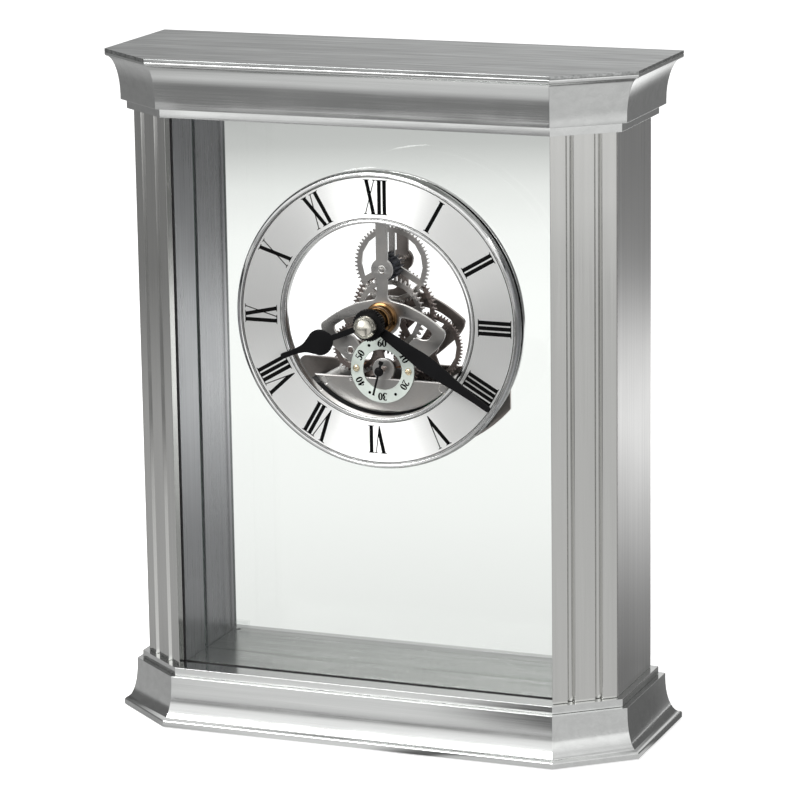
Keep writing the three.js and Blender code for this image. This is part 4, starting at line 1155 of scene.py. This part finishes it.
def print_stroke(ink, stroke, place):
    """A row of overlapping quads along a stroke."""
    for (x0, y0, w0), (x1, y1, w1) in zip(stroke, stroke[1:]):
        along = Vector((x1 - x0, y1 - y0))
        if along.length < 1e-6:
            continue
        side = Vector((-along.y, along.x)).normalized()
        lap = along.normalized() * LAP
        start, end = Vector((x0, y0)) - lap, Vector((x1, y1)) + lap
        corners = start + side * w0, start - side * w0, end - side * w1, end + side * w1
        ink.shape([place(*corner) for corner in corners])


def print_seconds():
    ring_middle = 8.85
    height = 2.45
    ink = Printing(y_span("seconds_dial")[0])
    for sixth, label in enumerate(("60", "10", "20", "30", "40", "50")):
        for i, digit in enumerate(label):
            def place(x, y, i=i, degrees=60 * sixth):
                u = (x - DIGIT_MIDDLE + (i - 0.5) * DIGIT_PITCH) * height
                return dial_point(SECONDS, degrees, u, ring_middle + (y - 0.5) * height)
            for stroke in DIGITS[digit]:
                print_stroke(ink, stroke, place)
    dot = 0.5
    sides = 20
    for degrees in (30, 150, 210, 330):
        ink.shape([
            dial_point(SECONDS, degrees, dot * math.sin(math.tau * k / sides),
                       ring_middle + 0.1 + dot * math.cos(math.tau * k / sides))
            for k in range(sides)
        ])
    ink.finish("seconds_numerals", "seconds_dial")


print_seconds()


# ---- stage, light and camera
def ramp(tree, value, stops):
    """A curve through (value, level) stops."""
    last, top = stops[-1][0], max(level for _, level in stops)
    made = add_node(tree, "ValToRGB", {0: math_of(tree, "DIVIDE", value, last)})
    elements = made.color_ramp.elements
    while len(elements) < len(stops):
        elements.new(0.5)
    for element, (place, level) in zip(elements, stops):
        element.position = place / last
        element.color = (level / top, level / top, level / top, 1.0)
    return math_of(tree, "MULTIPLY", made.outputs[0], top)


def toward(tree, heading, axis, start, end):
    """How far a heading points along a level axis, eased from 0 to 1."""
    flat = vector_of(tree, "MULTIPLY", heading, (1.0, 1.0, 0.0))
    aim = Vector((*axis, 0.0)).normalized()
    dot = vector_of(tree, "DOT_PRODUCT", vector_of(tree, "NORMALIZE", flat), aim, output="Value")
    return spread(tree, dot, 0.0, 1.0, (start, end), interpolation_type="SMOOTHSTEP")


# What the metal sees on the floor. Each row has a heading, the cosines off it at which the row fades
# in and is full, and the level by distance from the clock in metres.
FLOOR_LEVELS = [
    ((-0.37, -0.93), (0.62, 0.96), [
        (0.0, 0.66), (0.09, 0.6), (0.13, 0.55), (0.2, 0.5), (0.3, 0.5), (0.36, 0.3), (0.42, 0.08),
        (1.16, 0.1), (1.25, 0.85), (1.7, 0.85), (4.0, 0.65),
    ]),
    ((0.906, -0.423), (0.86, 0.93), [
        (0.0, 0.45), (0.15, 0.45), (0.7, 0.44), (0.85, 0.42), (0.93, 0.45), (1.02, 0.62), (4.0, 0.4),
    ]),
    ((0.2, 0.98), (0.62, 0.96), [
        (0.0, 0.15), (0.2, 0.2), (0.33, 0.55), (0.45, 1.05), (0.6, 1.0), (0.74, 0.25), (0.82, 0.06),
        (4.0, 0.1),
    ]),
    ((-0.99, 0.15), (0.62, 0.96), [(0.0, 0.15), (0.2, 0.28), (0.5, 0.26), (0.8, 0.08), (4.0, 0.1)]),
]
# What the metal sees of the surround, with the level by sine of the height.
SKY_LEVELS = [
    ((-0.15, -1.0), (0.3, 0.85), [
        (0.0, 0.12), (0.04, 0.12), (0.12, 0.78), (0.6, 0.9), (0.95, 0.8), (1.0, 0.75),
    ]),
    ((-0.15, 0.99), (0.9, 1.0), [(0.0, 0.3), (0.25, 0.6), (0.5, 0.5), (0.8, 0.2), (1.0, 0.0)]),
    ((0.83, -0.55), (0.6, 0.95), [(0.0, 0.35), (0.1, 0.45), (0.3, 0.3), (0.5, 0.1), (1.0, 0.0)]),
]
SKY_OVERHEAD = [(0.0, 0.0), (0.45, 0.0), (0.8, 0.5), (1.0, 0.72)]
AMBIENT = 0.13
# The floor behind the clock as it shows through both panes, by distance from the clock: painted shade,
# darkest far off where the tops of the panes look through, and a little brighter in between.
PAINTED_BACKDROP = [
    (0.0, 0.84), (0.1, 0.87), (0.25, 0.99), (0.45, 1.1), (0.7, 1.12), (0.85, 1.08), (1.0, 0.92),
    (1.15, 0.62), (1.3, 0.46), (3.0, 0.4),
]
PAINTED_BACKDROP_COLOUR = (0.985, 1.0, 0.985, 1.0)
ONE_PANE = 2.5  # a pane has two see-through faces, so a ray through more has met the second pane
FLOOR_SIZE = 16.0
FLOOR_DROP = 0.0002
FLOOR_GLOW = 0.62
KEY_POWER = 17.0
FILL_POWER = 0.6


def staged_level(tree, heading, value, table):
    """The sum of a table's levels, each as far as the heading points its way."""
    level = AMBIENT
    for axis, width, stops in table:
        share = toward(tree, heading, axis, *width)
        level = math_of(tree, "MULTIPLY_ADD", ramp(tree, value, stops), share, level)
    return level


def emission(tree, strength, colour=WHITE):
    return add_node(tree, "Emission", {"Color": colour, "Strength": strength}).outputs[0]


def pale_floor():
    """A pale floor. It is white to the eye, shaded where metal mirrors it, and painted with graded shade
    where it shows through both panes.
    """
    bm = bmesh.new()
    bmesh.ops.create_grid(bm, x_segments=1, y_segments=1, size=FLOOR_SIZE / 2)
    floor = put("stage_floor", mesh_of("stage_floor", bm))
    floor.location.z = cad_box[0].z - FLOOR_DROP
    made, tree, bsdf = new_material("pale_floor", roughness=0.9, base_color=(0.8, 0.8, 0.8, 1.0),
                                    specular_ior_level=0.0)
    place = add_node(tree, "NewGeometry").outputs["Position"]
    away = vector_of(tree, "LENGTH", place, output="Value")
    mirrored = emission(tree, staged_level(tree, place, away, FLOOR_LEVELS))
    lit = add_node(tree, "AddShader", {0: bsdf.outputs[0], 1: emission(tree, FLOOR_GLOW)}).outputs[0]
    # what the camera sees through both panes: the floor with painted shade graded by distance
    painted_backdrop = emission(tree, ramp(tree, away, PAINTED_BACKDROP), PAINTED_BACKDROP_COLOUR)
    path = add_node(tree, "LightPath").outputs
    panes = math_of(tree, "GREATER_THAN", path["Transparent Depth"], ONE_PANE)
    show(tree, mix_shader(tree, path["Is Camera Ray"], mirrored, mix_shader(tree, panes, lit, painted_backdrop)))
    floor.data.materials.append(made)


def studio_world():
    """A soft pale surround: bright above and in front, dimmer at the sides, white to the eye."""
    world = bpy.data.worlds.new("studio")
    SCENE.world = world
    world.use_nodes = True
    tree = world.node_tree
    tree.nodes.clear()
    heading = add_node(tree, "TexCoord").outputs["Generated"]
    height = math_of(tree, "MAXIMUM", part_of(tree, heading, "Z"), 0.0)
    level = staged_level(tree, heading, height, SKY_LEVELS)
    front_axis, front_width, _ = SKY_LEVELS[0]
    rest = math_of(tree, "SUBTRACT", 1.0, toward(tree, heading, front_axis, *front_width))
    level = math_of(tree, "MULTIPLY_ADD", ramp(tree, height, SKY_OVERHEAD), rest, level)
    surround, plain = (
        add_node(tree, "Background", {"Color": WHITE, "Strength": strength}).outputs[0]
        for strength in (level, 1.0)
    )
    seen = add_node(tree, "LightPath").outputs["Is Camera Ray"]
    output = add_node(tree, "OutputWorld", {"Surface": mix_shader(tree, seen, surround, plain)})
    output.is_active_output = True


def soft_light(name, place, target, size, power):
    light = bpy.data.lights.new(name, "AREA")
    light.shape = "RECTANGLE"
    light.size, light.size_y = size
    light.energy = power
    holder = put(name, light)
    holder.location = place
    holder.rotation_euler = (Vector(target) - Vector(place)).to_track_quat("-Z", "Y").to_euler()


CAMERA_FROM = Vector((451.34, -1136.90, 395.49)) * MM
CAMERA_AT = Vector((3.079, 4.6, 107.225)) * MM
CAMERA_ROLL = -0.804
CAMERA_LENS = 175.14


def photo_camera():
    camera = bpy.data.cameras.new("camera")
    camera.lens = CAMERA_LENS
    camera.sensor_width = 36.0
    holder = put("camera", camera)
    holder.location = CAMERA_FROM
    aim = (CAMERA_AT - CAMERA_FROM).to_track_quat("-Z", "Y")
    holder.rotation_mode = "QUATERNION"
    holder.rotation_quaternion = aim @ Quaternion((0, 0, 1), math.radians(CAMERA_ROLL))
    SCENE.camera = holder


pale_floor()
studio_world()
centre = (cad_box[0] + cad_box[1]) / 2
soft_light("key", (-0.5, -0.9, 1.0), centre, (0.9, 0.7), KEY_POWER)
soft_light("fill", (1.0, -0.7, 0.5), centre, (0.5, 0.9), FILL_POWER)
photo_camera()
SCENE.view_settings.view_transform = "Standard"
SCENE.view_settings.look = "None"
